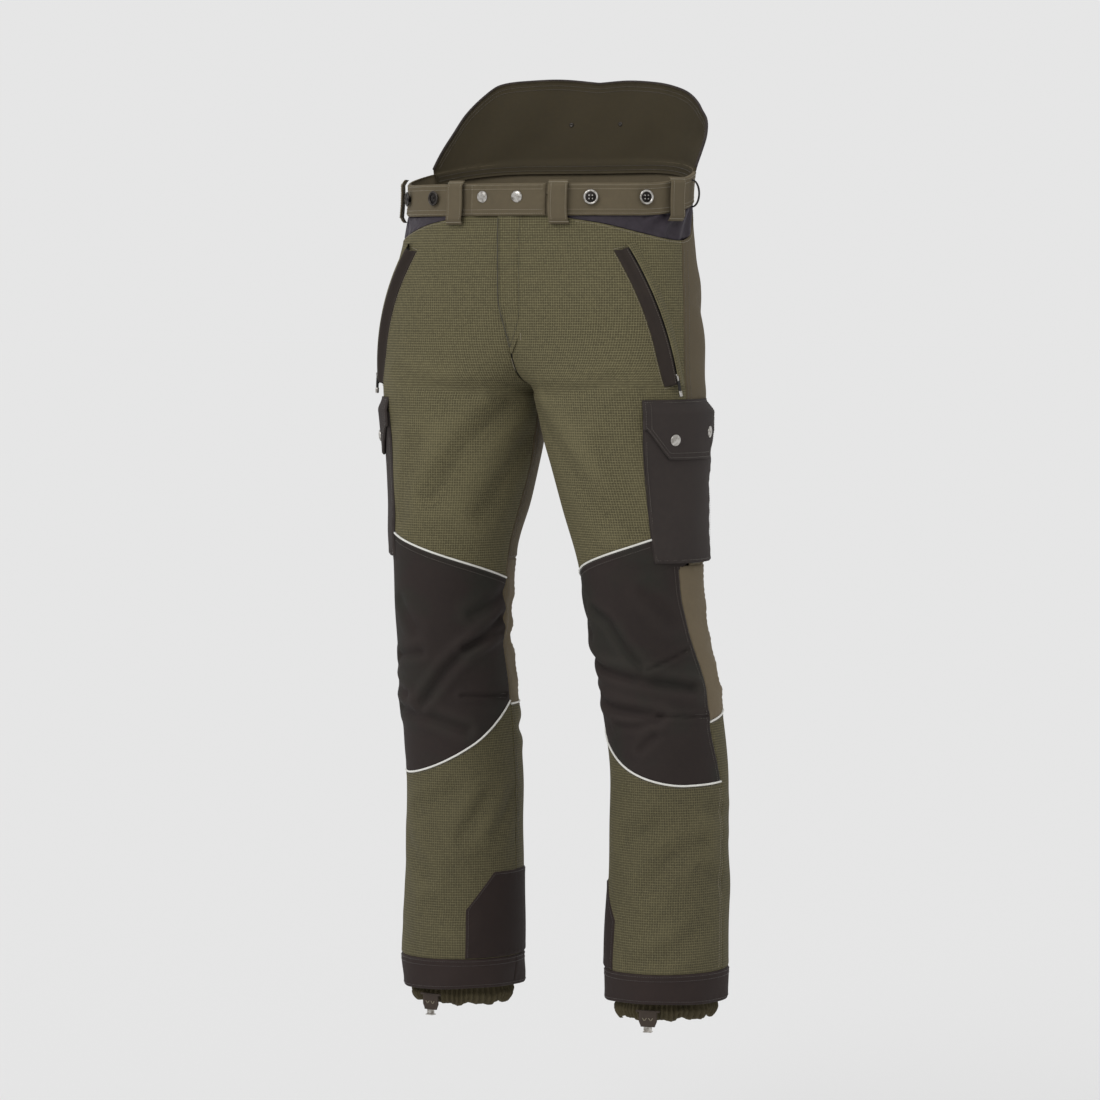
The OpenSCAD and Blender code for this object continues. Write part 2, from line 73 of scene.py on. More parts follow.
# ---------------------------------------------------------------- body surface
# Height, outer x, inner x, centre y, front depth, back depth, roundness: as in the CAD.
SECTIONS = np.array([
    [170, 218, -218, 8, 132, 140, 2], [60, 205, -205, 3, 125, 129, 2],
    [0, 196, -196, 0, 123, 122, 2.05], [-50, 197, -197, -3, 122, 121, 2.1],
    [-90, 202, -156, -9, 117, 124, 2.2], [-140, 210, -114, -20, 107, 128, 2.3],
    [-190, 216, -77, -28, 97, 130, 2.3], [-225, 217, -44, -29, 96, 128, 2.25],
    [-248, 217, -16, -27, 99, 124, 2.2], [-260, 217, 0, -25, 101, 121, 2.15],
    [-290, 216, 8, -22, 103, 117, 2.1], [-345, 212, 19, -15, 106, 110, 2.05],
    [-410, 211, 36, -12, 99, 100, 2], [-474, 213, 54, -10, 90, 90, 2],
    [-578, 216, 70, 2, 82, 82, 2], [-656, 223, 74, 26, 84, 83, 2],
    [-760, 225, 75, 45, 84, 84, 2], [-890, 227, 73, 45, 84, 86, 2],
    [-1000, 228, 71, 40, 86, 88, 2], [-1090, 227, 72, 38, 84, 86, 2]], float)
CROTCH = -260
MM_PER_DEGREE = 1.45  # of cloth round a leg


def lerp(a, b, t):
    return a + (b - a) * t


def clamp(t):
    return np.clip(t, 0, 1)


def smooth(t):
    c = clamp(t)
    return c * c * (3 - 2 * c)


def curve(table, x):
    """Smooth curve through the table's rows, by its first column."""
    t = np.asarray(table, float)
    x = np.asarray(x, float)
    down = t[1, 0] < t[0, 0]
    key, at = (-t[:, 0], -x) if down else (t[:, 0], x)
    i = np.clip(np.searchsorted(key, at, side="right") - 1, 0, len(t) - 2)
    k = np.arange(len(t))
    lo, hi = np.maximum(k - 1, 0), np.minimum(k + 1, len(t) - 1)
    slope = (t[hi] - t[lo]) / (t[hi, 0] - t[lo, 0])[:, None]
    span = (t[i + 1, 0] - t[i, 0])[..., None]
    s = clamp((x - t[i, 0]) / (t[i + 1, 0] - t[i, 0]))[..., None]
    return ((2 * s**3 - 3 * s**2 + 1) * t[i] + (s**3 - 2 * s**2 + s) * span * slope[i]
            + (3 * s**2 - 2 * s**3) * t[i + 1] + (s**3 - s**2) * span * slope[i + 1])


def leg(a, z):
    """Point and outward normal on the left leg's cloth. Angle a: 0 front, 90 outside, 180 back."""
    a, z = np.broadcast_arrays(np.asarray(a, float), np.asarray(z, float))
    s = curve(SECTIONS, z)
    cx, rx, n = (s[..., 1] + s[..., 2]) / 2, (s[..., 1] - s[..., 2]) / 2, s[..., 6]
    c, q = np.cos(np.radians(a)), np.sin(np.radians(a))
    ry = np.where(c > 0, s[..., 4], s[..., 5])
    u = np.sign(q) * abs(q) ** (2 / n)
    v = np.sign(c) * abs(c) ** (2 / n)
    nx = np.sign(u) * abs(u) ** (n - 1) / rx
    ny = -np.sign(v) * abs(v) ** (n - 1) / ry
    long = np.hypot(nx, ny)
    normal = np.stack([nx / long, ny / long, 0 * z], -1)
    return np.stack([cx + rx * u, s[..., 3] - ry * v, z], -1), normal


def seam_turn(z):
    s = curve(SECTIONS, z)
    k = (s[..., 1] + s[..., 2]) / (s[..., 1] - s[..., 2])
    turn = np.sign(k) * np.degrees(np.arcsin(np.minimum(1, abs(k) ** (s[..., 6] / 2))))
    return np.where(z <= CROTCH, 90.0, turn)


def front_seam(z):
    return 0.1 - seam_turn(z)


def back_seam(z):
    return 179.9 + seam_turn(z)


# ---------------------------------------------------------------- folds
# Each fold: points (angle, height), half width, depth. Angles past 180 run on round the back.
KNEE_BACK_FOLDS = [
    ([(122, -560), (165, -572), (205, -566), (240, -552)], 9, 2.2),
    ([(134, -598), (165, -606), (215, -602), (246, -590)], 8, 2.4),
    ([(118, -633), (150, -640), (190, -642), (236, -634)], 8, 2.6),
    ([(130, -662), (165, -668), (222, -665)], 7, 1.8),
    ([(140, -528), (170, -536), (220, -530)], 9, 1.6),
    ([(150, -705), (200, -722), (250, -712)], 10, 2.0)]
FOLDS = {
    "left": KNEE_BACK_FOLDS + [
        ([(-30, -545), (-12, -557), (14, -617)], 7, 2.6),
        ([(-70, -600), (-37, -620), (16, -632), (62, -643)], 7, 3.6),
        ([(-62, -655), (-32, -669), (1, -674), (26, -679)], 7, 3.2),
        ([(-23, -693), (-2, -693), (22, -686)], 5, 1.8),
        ([(2, -723), (18, -704)], 5, 1.6),
        ([(21, -618), (65, -593)], 2.6, 1.8), ([(23, -678), (76, -681)], 2.6, 1.8),
        ([(30, -520), (52, -556)], 9, 1.6), ([(-75, -540), (-48, -575)], 9, 2.0),
        ([(5, -900), (30, -860), (60, -845)], 12, 1.8), ([(30, -985), (62, -950)], 13, 1.6),
        ([(-20, -840), (15, -818)], 12, 1.7), ([(-5, -1000), (22, -985)], 12, 1.4),
        ([(60, -880), (95, -905)], 12, 1.5), ([(70, -800), (110, -820)], 10, 1.6),
        ([(-50, -290), (-22, -345), (6, -420)], 14, 2.4), ([(10, -330), (28, -440)], 14, 1.6),
        ([(-30, -262), (2, -262), (24, -246)], 9, 1.4),
        ([(105, -150), (140, -205), (170, -250)], 14, 2.2), ([(130, -290), (190, -300)], 12, 2.6),
        ([(110, -380), (165, -395)], 14, 2.2), ([(120, -450), (185, -445)], 13, 1.8)],
    "right": KNEE_BACK_FOLDS + [
        ([(-85, -564), (-41, -603), (-17, -634), (9, -676)], 7, 3.2),
        ([(-84, -581), (-41, -600)], 5, 2.0),
        ([(41, -613), (4, -606)], 6, 2.2), ([(60, -650), (30, -664)], 6, 1.8),
        ([(50, -684), (-3, -694), (-35, -710)], 7, 2.6),
        ([(-82, -667), (-33, -664)], 2.6, 1.8),
        ([(-88, -530), (-50, -556)], 8, 1.8), ([(30, -540), (10, -575)], 9, 1.5),
        ([(-52, -800), (-28, -850)], 11, 1.8), ([(-20, -790), (20, -815)], 12, 1.7),
        ([(10, -900), (40, -860)], 12, 1.6), ([(-28, -960), (5, -940)], 12, 1.5),
        ([(-84, -800), (-62, -850)], 11, 1.8), ([(20, -1000), (50, -980)], 12, 1.4),
        ([(-60, -280), (-30, -330), (-4, -400)], 14, 2.6), ([(-80, -330), (-50, -420)], 13, 2.4),
        ([(-30, -262), (4, -258), (30, -240)], 9, 1.4),
        ([(10, -330), (30, -430)], 14, 1.5),
        ([(105, -150), (140, -205), (170, -250)], 14, 2.2), ([(130, -290), (190, -300)], 12, 2.6),
        ([(110, -380), (165, -395)], 14, 2.2), ([(120, -450), (185, -445)], 13, 1.8)],
}
WAVES = np.random.default_rng(11)
RIPPLES = {
    side: [(WAVES.integers(0, 5), WAVES.uniform(14, 60), *WAVES.uniform(0, 6.28, 2), WAVES.uniform(0.15, 0.6))
           for _ in range(12)]
    for side in FOLDS}


def distance_to(line, a, z):
    """Distance on the cloth, in mm, from (a, z) to a broken line of (angle, height) points."""
    far = np.full(np.shape(a), 1e9)
    for (a0, z0), (a1, z1) in zip(line, line[1:]):
        du, dv = (a1 - a0) * MM_PER_DEGREE, z1 - z0
        u, v = (a - a0) * MM_PER_DEGREE, z - z0
        t = clamp((u * du + v * dv) / (du * du + dv * dv))
        far = np.minimum(far, np.hypot(u - t * du, v - t * dv))
    return far


def fold_height(side, a, z):
    """How far the cloth stands out of (or, below 0, sinks into) its smooth surface."""
    a = (np.asarray(a, float) + 180) % 360 - 180
    z = np.asarray(z, float)
    h = np.zeros(np.broadcast(a, z).shape)
    a, z = np.broadcast_arrays(a, z)
    for line, width, depth in FOLDS[side]:
        reach = np.minimum(distance_to(line, a, z), distance_to(line, a + 360, z)) / width
        knee = 1 + 0.35 * smooth((-500 - z) / 30) * smooth((z + 760) / 30)
        h += knee * depth * (0.7 * np.exp(-(((reach - 1.9) / 1.15) ** 2)) - np.exp(-((1.15 * reach) ** 2)))
    for turns, span, p, q, size in RIPPLES[side]:
        h += 0.8 * size * np.sin(np.radians(a) * turns + p) * np.sin(z / span + q)
    h *= smooth((-52 - z) / 50) * smooth((z + 1062) / 40)
    point, _ = leg(a, z)
    beside = np.where(abs(a) < 90, (abs(point[..., 0]) - 20) / 26, abs(point[..., 0]) / 34 + 0.05)
    return h * np.where(z > CROTCH - 10, smooth(beside), 1.0)


# ---------------------------------------------------------------- faces of the cloth
def leg_face(side, lift=0.0, folds=1.0):
    """Gives face(a, z, d) -> point, normal for a cloth that lies lift outside the leg's surface."""
    def face(a, z, d=0.0):
        p, n = leg(a, z)
        out = lift + d + (fold_height(side, a, z) * folds if folds else 0)
        p = p + n * np.asarray(out)[..., None]
        return flip(side, p), flip(side, n)
    return face


def flip(side, v):
    return v * np.array([-1.0, 1, 1]) if side == "right" else v


def ring_face(lift=0.0):
    """The same for a cloth round the whole waist: negative angles are on the wearer's right."""
    def face(a, z, d=0.0):
        a = wrap(a)
        p, n = leg(abs(a), z)
        off_centre = leg(0.0, z)[0][..., 0]  # the two halves meet at X = 0
        beside = smooth(np.minimum(abs(a), 180 - abs(a)) / 20)
        p = p - (off_centre * (1 - beside))[..., None] * [1, 0, 0]
        m = np.where(np.broadcast_to(a, n.shape[:-1]) < 0, -1.0, 1.0)[..., None] * [1, 0, 0] + [0, 1, 1]
        p, n = p * m, n * m
        return p + n * np.asarray(lift + d + 0 * a)[..., None], n
    return face


# ---------------------------------------------------------------- meshes
def mesh_object(name, points, faces, material, uv=None, marks=None, flat=False):
    """An object from points in mm, four-cornered faces, uv in metres and named point values."""
    mesh = bpy.data.meshes.new(name)
    points, faces = np.asarray(points, np.float32), np.asarray(faces, np.int32)
    mesh.vertices.add(len(points))
    mesh.vertices.foreach_set("co", (points * MM).ravel())
    mesh.loops.add(faces.size)
    mesh.loops.foreach_set("vertex_index", faces.ravel())
    mesh.polygons.add(len(faces))
    mesh.polygons.foreach_set("loop_start", np.arange(0, faces.size, 4, dtype=np.int32))
    mesh.polygons.foreach_set("use_smooth", np.full(len(faces), not flat))
    mesh.update(calc_edges=True)
    if uv is not None:
        layer = mesh.uv_layers.new(name="UVMap")
        layer.data.foreach_set("uv", np.asarray(uv, np.float32)[faces.ravel()].ravel())
    for key, values in (marks or {}).items():
        mark = mesh.attributes.new(key, "FLOAT", "POINT")
        mark.data.foreach_set("value", np.asarray(values, np.float32).ravel())
    mesh.validate()
    mesh.materials.append(material)
    obj = bpy.data.objects.new(name, mesh)
    bpy.context.collection.objects.link(obj)
    return obj


def steps(length, spacing, edge=(0.0, 0.8, 1.8, 3.2)):
    """Places along a cloth from 0 to 1, close together near its two edges."""
    inner = np.linspace(edge[-1], length - edge[-1], max(2, int(length / spacing) + 1))
    return np.concatenate([edge[:-1], inner, length - np.array(edge[-2::-1])]) / length


def grid(edges, nu, nv):
    """Angles and heights of a cloth between four edges: two angles by height, two heights by angle."""
    u, v = np.meshgrid(nu, nv)
    a, z = 0 * u, lerp(edges[2](90 + 0 * u), edges[3](90 + 0 * u), v)
    for _ in range(8):
        a = lerp(edges[0](z), edges[1](z), u)
        z = lerp(edges[2](a), edges[3](a), v)
    return a, z


ROLL_WIDTH = 3.2  # of the rolled strip along a cloth's edge


def cloth(name, face, edges, material, thick=1.3, spacing=FINE, roll=1.5, rolled="lrbt", bulge=0.0, wave=None,
          pucker=0.35):
    """A closed sheet of cloth between four edges, with its edges rolled in towards the seams.

    rolled names the rolled edges: l and r by angle, b and t by height. pucker is the height of
    the small waves that a seam draws into the cloth, and wave(a, z, u, v) adds a shape of its own.
    """
    a, z = grid(edges, np.linspace(0, 1, 9), np.linspace(0, 1, 9))
    p, _ = face(a, z, 0.0)
    wide = np.linalg.norm(np.diff(p, axis=1), axis=-1).sum(1).max()
    high = np.linalg.norm(np.diff(p, axis=0), axis=-1).sum(0).max()
    nu, nv = steps(wide, spacing), steps(high, spacing)
    a, z = grid(edges, nu, nv)
    us, vs = np.meshgrid(nu * wide, nv * high)
    sides = {"l": us, "r": wide - us, "b": vs, "t": high - vs}
    near = np.min([sides[k] for k in rolled], axis=0)
    d = -roll * (1 - clamp(near / ROLL_WIDTH)) ** 2
    beside, below = np.minimum(us, wide - us), np.minimum(vs, high - vs)
    along = np.where(beside < below, vs, us)
    d = d + pucker * np.sin(along / 2.3 + 1.7 * np.sin(along / 17)) * np.exp(-((near - 5) / 4.5) ** 2)
    d = d + bulge * smooth(np.minimum(beside, below) / 40)
    if wave is not None:
        d = d + wave(a, z, us, vs)
    outer, _ = face(a, z, d)
    inner, _ = face(a, z, d - thick)
    rows = np.linalg.norm(np.diff(outer, axis=1), axis=-1)
    u = np.concatenate([np.zeros((len(outer), 1)), np.cumsum(rows, 1)], 1)
    u -= u[:, [u.shape[1] // 2]]
    uv = np.stack([u, z], -1).reshape(-1, 2) * MM
    # The fold height goes to the ridge mark, from which fabric() paints a highlight on fold ridges and shade in fold
    # hollows.
    ridge = face.folds(a, z) if hasattr(face, "folds") else 0 * near
    marks = {"edge": near, "ridge": ridge}
    return sheet_object(name, outer, inner, material, uv, marks, face_is_mirrored(face, a, z))


def face_is_mirrored(face, a, z):
    p, n = face(a, z, 0.0)
    j, i = p.shape[0] // 2, p.shape[1] // 2
    across, up = p[j, i + 1] - p[j, i - 1], p[j + 1, i] - p[j - 1, i]
    return float(np.dot(np.cross(across, up), n[j, i])) < 0


def sheet_object(name, outer, inner, material, uv, values, mirrored=False):
    """A closed sheet between two grids of points, with named values for each point of a grid."""
    rows, cols = outer.shape[:2]
    ids = np.arange(rows * cols).reshape(rows, cols)
    far = ids + rows * cols
    quads = lambda g: np.stack([g[:-1, :-1], g[:-1, 1:], g[1:, 1:], g[1:, :-1]], -1).reshape(-1, 4)
    rim = np.concatenate([ids[0, :-1], ids[:-1, -1], ids[-1, :0:-1], ids[:0:-1, 0]])
    rim_next = np.roll(rim, -1)
    wall = np.stack([rim, rim + rows * cols, rim_next + rows * cols, rim_next], -1)
    faces = np.concatenate([quads(ids), quads(far)[:, ::-1], wall])
    if mirrored:
        faces = faces[:, ::-1]
    points = np.concatenate([outer.reshape(-1, 3), inner.reshape(-1, 3)])
    marks = {k: np.concatenate([v.ravel(), v.ravel()]) for k, v in values.items()}
    return mesh_object(name, points, faces, material, np.concatenate([uv, uv]), marks)


def tube(points, radius, sides=10, squash=1.0, normals=None):
    """Points and faces of a closed round or oval tube along a line of points in mm."""
    points = np.asarray(points, float)
    tangent = np.gradient(points, axis=0)
    tangent /= np.linalg.norm(tangent, axis=1)[:, None]
    if normals is None:
        up = np.tile([0.0, 0.0, 1.0], (len(points), 1))
        up[abs(tangent[:, 2]) > 0.9] = [1.0, 0, 0]
        normals = np.cross(tangent, up)
    normals = normals - tangent * (normals * tangent).sum(1)[:, None]
    normals /= np.linalg.norm(normals, axis=1)[:, None]
    across = np.cross(tangent, normals)
    turn = np.linspace(0, 2 * math.pi, sides, endpoint=False)
    radius = np.broadcast_to(np.asarray(radius, float), (len(points),))[:, None, None]
    ring = (across[:, None] * np.cos(turn)[None, :, None] + normals[:, None] * squash * np.sin(turn)[None, :, None])
    verts = points[:, None] + ring * radius
    ids = np.arange(len(points) * sides).reshape(len(points), sides)
    nxt = np.roll(ids, -1, axis=1)
    faces = np.stack([ids[:-1], nxt[:-1], nxt[1:], ids[1:]], -1).reshape(-1, 4)
    ends = []
    for row, order in ((ids[0], 1), (ids[-1], -1)):
        for k in range(0, sides - 2, 2):
            ends.append([row[0], row[k + 1], row[k + 2], row[(k + 3) % sides]][::-order])
    along = np.concatenate([[0], np.cumsum(np.linalg.norm(np.diff(points, axis=0), axis=1))])
    uv = np.stack(np.meshgrid(turn * radius.mean(), along), -1).reshape(-1, 2) * MM
    return verts.reshape(-1, 3), np.concatenate([faces, np.array(ends)]), uv


def lathe(profile, centre, out, sides=40):
    """Points, faces and uv of a turned piece: profile rows are radius and height along out."""
    out = np.asarray(out, float) / np.linalg.norm(out)
    across = np.cross([0, 0, 1.0], out)
    across /= np.linalg.norm(across)
    up = np.cross(out, across)
    turn = np.linspace(0, 2 * math.pi, sides, endpoint=False)
    ring = across * np.cos(turn)[:, None] + up * np.sin(turn)[:, None]
    verts = np.concatenate([centre + ring * max(r, 0.02) + out * h for r, h in profile])
    ids = np.arange(len(verts)).reshape(len(profile), sides)
    nxt = np.roll(ids, -1, axis=1)
    faces = np.stack([ids[:-1], nxt[:-1], nxt[1:], ids[1:]], -1).reshape(-1, 4)
    uv = np.stack([np.tile(turn, len(profile)), np.repeat([h for _, h in profile], sides)], -1) * MM
    return verts, faces, uv


# Turned profiles: radius and height above the cloth.
CAP = [(7.4, -0.6), (7.5, 0.5), (7.2, 1.0), (6.3, 1.35), (5.9, 1.3), (5.4, 1.6), (3.6, 2.2), (1.8, 2.45), (0, 2.5)]
STUD = [(6.4, -0.4), (6.4, 0.3), (2.4, 0.4), (2.0, 0.55), (0, 0.6)]
RING = [(7.9, 0.2), (9.2, 0.4), (9.5, 1.1), (9.1, 1.9), (8.2, 2.2), (7.2, 1.9), (6.6, 1.1), (6.4, 0.3)]
DISH = [(7.4, 0.5), (6.6, 1.15), (4.5, 0.95), (3.4, 1.2), (2.6, 1.65), (1.2, 1.8), (0, 1.8)]
SHANK = [(3.6, -2.8), (3.4, 0.4), (7.6, 0.5)]
BACKPLATE = [(3.0, -1.4), (3.1, 0.1), (2.7, 0.6), (1.7, 0.7), (1.2, 0.4), (0, 0.4)]
RIVET = [(1.05, -0.2), (1.0, 0.35), (0.6, 0.5), (0, 0.52)]


def join(parts):
    """Several (points, faces, uv) as one."""
    points, faces, uvs, start = [], [], [], 0
    for p, f, uv in parts:
        points.append(p)
        faces.append(np.asarray(f) + start)
        uvs.append(uv)
        start += len(p)
    return np.concatenate(points), np.concatenate(faces), np.concatenate(uvs)


def block(centre, across, up, out, size):
    """A box: its own axes and its sizes along them."""
    corners = np.array([[x, y, z] for z in (-1, 1) for y in (-1, 1) for x in (-1, 1)], float) / 2 * size
    verts = np.asarray(centre) + corners @ np.array([across, up, out])
    faces = [[0, 2, 3, 1], [4, 5, 7, 6], [0, 1, 5, 4], [2, 6, 7, 3], [0, 4, 6, 2], [1, 3, 7, 5]]
    return verts, np.array(faces), corners[:, :2] * MM


# ---------------------------------------------------------------- materials
def linear(rgb):
    c = np.array(rgb) / 255
    return tuple(np.where(c <= 0.04045, c / 12.92, ((c + 0.055) / 1.055) ** 2.4)) + (1.0,)


class Graph:
    """Short calls for building a shader graph."""

    def __init__(self, name):
        self.material = bpy.data.materials.new(name)
        self.material.use_nodes = True
        self.tree = self.material.node_tree
        self.shader = self.tree.nodes["Principled BSDF"]

    def node(self, kind, inputs=None, **settings):
        n = self.tree.nodes.new(kind)
        for key, value in settings.items():
            setattr(n, key, value)
        for key, value in (inputs or {}).items():
            self.put(n.inputs[key], value)
        return n

    def put(self, socket, value):
        if hasattr(value, "is_output"):
            self.tree.links.new(value, socket)
        else:
            socket.default_value = value

    def math(self, kind, a, b=0.0):
        n = self.node("ShaderNodeMath", operation=kind)
        self.put(n.inputs[0], a)
        self.put(n.inputs[1], b)
        return n.outputs[0]

    def ramp(self, value, low, high, out_low=0.0, out_high=1.0):
        n = self.node("ShaderNodeMapRange", {"Value": value, "From Min": low, "From Max": high,
                                             "To Min": out_low, "To Max": out_high})
        return n.outputs["Result"]

    def mix(self, factor, a, b, kind="MIX"):
        n = self.node("ShaderNodeMix", data_type="RGBA", blend_type=kind)
        self.put(n.inputs["Factor"], factor)
        self.put(n.inputs["A"], a)
        self.put(n.inputs["B"], b)
        return n.outputs["Result"]

    def noise(self, where, scale, detail=3.0, rough=0.55):
        n = self.node("ShaderNodeTexNoise", {"Vector": where, "Scale": scale, "Detail": detail, "Roughness": rough})
        return n.outputs["Fac"]

    def waves(self, where, period, axis):
        n = self.node("ShaderNodeTexWave", {"Vector": where, "Scale": 0.314159 / period, "Distortion": 0.0},
                      wave_type="BANDS", bands_direction=axis)
        return n.outputs["Fac"]


def fabric(name, colour, light, dark, weave=0.9, ripstop=None, lines=0.5, sheen=0.25, rough=0.85, bump=0.35,
           patch=None, patch_scale=9.0):
    """A woven cloth. weave is the yarn pitch and ripstop the grid pitch, both in mm."""
    g = Graph(name)
    places = g.node("ShaderNodeTexCoord")
    uv, at = places.outputs["UV"], places.outputs["Object"]
    slow, fast = g.noise(at, patch_scale, 2.0), g.noise(at, 130.0, 3.0)
    body = g.mix(g.ramp(slow, 0.3, 0.6, 0.45, 1.0), linear(dark), linear(colour))
    if patch:
        body = g.mix(g.ramp(g.noise(at, patch_scale * 1.7, 2.0), 0.45, 0.62), body, linear(patch))
    body = g.mix(g.ramp(fast, 0.3, 0.8, 0.0, 0.2), body, linear(light))
    warp, weft = g.waves(uv, weave * MM, "X"), g.waves(uv, weave * MM, "Y")
    threads = g.math("MULTIPLY", warp, weft)
    body = g.mix(g.ramp(threads, 0.0, 1.0, 0.0, 0.22), body, linear(light))
    height = threads
    if ripstop:
        across = g.ramp(g.waves(uv, ripstop * MM, "X"), 0.80, 0.95)
        along = g.ramp(g.waves(uv, ripstop * MM, "Y"), 0.74, 0.92)
        dashes = g.ramp(g.noise(uv, 420.0, 1.0), 0.35, 0.6, 0.45, 1.0)
        cells = g.math("MULTIPLY", g.math("MAXIMUM", across, along), dashes)
        body = g.mix(g.math("MULTIPLY", cells, lines), body, linear(light))
        height = g.math("ADD", height, g.math("MULTIPLY", cells, 1.5))
    edge = g.node("ShaderNodeAttribute", attribute_name="edge").outputs["Fac"]
    ridge = g.node("ShaderNodeAttribute", attribute_name="ridge").outputs["Fac"]
    rubbed = g.ramp(g.noise(at, 60.0, 4.0), 0.42, 0.66, 0.0, 0.32)
    worn = g.math("MULTIPLY", g.ramp(edge, 0.6, 3.4, 1.0, 0.0), rubbed)
    body = g.mix(worn, body, linear(light))
    # Painted highlight on fold ridges and painted shade in fold hollows, both from the ridge mark (the fold height).
    body = g.mix(g.ramp(ridge, 0.5, 2.8, 0.0, 0.14), body, linear(light))
    body = g.mix(g.ramp(ridge, -1.2, -4.0, 0.0, 0.3), body, linear([c * 0.62 for c in dark]))
    g.put(g.shader.inputs["Base Color"], body)
    g.put(g.shader.inputs["Roughness"], g.ramp(fast, 0.2, 0.8, rough - 0.07, min(1.0, rough + 0.07)))
    g.shader.inputs["Sheen Weight"].default_value = sheen
    g.shader.inputs["Sheen Roughness"].default_value = 0.45
    g.shader.inputs["Sheen Tint"].default_value = linear(light)
    g.shader.inputs["Specular IOR Level"].default_value = 0.25
    crumple = g.node("ShaderNodeBump", {"Strength": 0.22, "Distance": 0.002, "Height": g.noise(at, 38.0, 4.0)})
    fine = g.node("ShaderNodeBump", {"Strength": bump, "Distance": 0.0004, "Height": height,
                                     "Normal": crumple.outputs["Normal"]})
    g.put(g.shader.inputs["Normal"], fine.outputs["Normal"])
    return g.material


def thread(name, colour):
    g = Graph(name)
    at = g.node("ShaderNodeTexCoord").outputs["Object"]
    body = g.mix(g.noise(at, 400.0), linear([c * 0.7 for c in colour]), linear(colour))
    g.put(g.shader.inputs["Base Color"], body)
    g.shader.inputs["Roughness"].default_value = 0.6
    g.shader.inputs["Sheen Weight"].default_value = 0.3
    twist = g.node("ShaderNodeBump", {"Strength": 0.3, "Distance": 0.0002, "Height": g.noise(at, 3000.0)})
    g.put(g.shader.inputs["Normal"], twist.outputs["Normal"])
    return g.material


def metal(name, colour, rough, tarnish):
    g = Graph(name)
    at = g.node("ShaderNodeTexCoord").outputs["Object"]
    blotch = g.ramp(g.noise(at, 240.0, 4.0), 0.4, 0.7)
    g.put(g.shader.inputs["Base Color"], g.mix(blotch, linear(colour), linear(tarnish)))
    g.shader.inputs["Metallic"].default_value = 1.0
    g.put(g.shader.inputs["Roughness"], g.ramp(blotch, 0, 1, rough, rough + 0.22))
    scratches = g.node("ShaderNodeBump", {"Strength": 0.25, "Distance": 0.0001, "Height": g.noise(at, 1800.0, 5.0)})
    g.put(g.shader.inputs["Normal"], scratches.outputs["Normal"])
    return g.material


# Colours are the cloth's own, that of its worn threads and edges, which is also painted on fold ridges as a highlight,
# and a darker one for its random tone, a deeper copy of which is painted into fold hollows as shade.
OLIVE = fabric("olive_ripstop_cloth", (58, 53, 36), (126, 119, 88), (52, 48, 33),
               ripstop=3.3, lines=0.75, sheen=0.15)
SHIN = fabric("olive_ripstop_shin", (53, 49, 33), (114, 107, 79), (47, 44, 30),
              ripstop=3.3, lines=0.68, sheen=0.15)
KHAKI = fabric("khaki_stretch_cloth", (82, 73, 56), (108, 97, 77), (74, 66, 50), weave=0.8, sheen=0.25)
BAND = fabric("waistband_cloth", (87, 78, 61), (114, 103, 82), (78, 70, 54), weave=0.8, sheen=0.25)
STRETCH = fabric("knee_stretch_cloth", (98, 87, 69), (122, 110, 88), (84, 75, 58), weave=1.6, sheen=0.3, bump=0.5)
CHARCOAL = fabric("charcoal_cloth", (46, 40, 38), (72, 65, 61), (39, 34, 33), weave=0.9, sheen=0.1)
KNEE = fabric("knee_cloth", (38, 30, 28), (60, 54, 50), (30, 24, 22), weave=1.1, sheen=0.05,
              patch=(34, 33, 28), patch_scale=7.0)
GUARD = fabric("guard_cloth", (34, 25, 23), (58, 48, 44), (28, 21, 19), weave=0.9, sheen=0.06)
HEM_CLOTH = fabric("hem_cloth", (38, 29, 27), (62, 52, 48), (32, 25, 23), weave=0.9, sheen=0.08)
WELT = fabric("welt_cloth", (40, 33, 29), (66, 58, 51), (34, 28, 25), weave=0.9, sheen=0.08)
YOKE = fabric("yoke_cloth", (54, 47, 32), (76, 68, 50), (46, 40, 27), weave=1.0, sheen=0.1)
GAITER = fabric("gaiter_cloth", (62, 55, 37), (92, 84, 60), (46, 40, 27), weave=1.0, sheen=0.1)
MESH = fabric("mesh_cloth", (40, 34, 40), (82, 73, 84), (26, 22, 27), weave=1.4, sheen=0.3, rough=0.5, bump=0.6)
LINING = fabric("lining_cloth", (40, 38, 34), (62, 58, 52), (32, 30, 27), weave=1.0, sheen=0.2, rough=0.7)
PAD = fabric("cut_protection_cloth", (214, 206, 180), (235, 230, 212), (198, 188, 158), weave=2.2, bump=0.6)
PIPING = fabric("piping_cloth", (208, 206, 200), (238, 238, 234), (182, 179, 170), weave=0.7, sheen=0.6, rough=0.5)
ELASTIC = fabric("elastic_cloth", (30, 28, 28), (58, 55, 54), (22, 21, 21), weave=1.2, bump=0.6)
CORD = fabric("cord_cloth", (34, 33, 33), (80, 78, 76), (22, 22, 22), weave=1.1, bump=0.8)
ZIP = fabric("zip_tape_cloth", (30, 28, 28), (52, 50, 48), (24, 22, 22), weave=0.7)
TEETH = fabric("zip_teeth_plastic", (44, 42, 42), (70, 68, 66), (34, 32, 32), weave=3.0, rough=0.4, sheen=0.0,
               bump=0.1)
HEM_TAB = fabric("tab_cloth", (56, 48, 42), (84, 74, 66), (46, 39, 34), weave=1.2, bump=0.6)
LIGHT_THREAD = thread("light_thread", (150, 140, 116))
DARK_THREAD = thread("dark_thread", (84, 76, 66))
SEAM = thread("seam_thread", (60, 55, 39))
HEM_THREAD = thread("hem_thread", (58, 48, 43))
SILVER = metal("snap_metal_polished", (196, 193, 188), 0.22, (120, 114, 106))
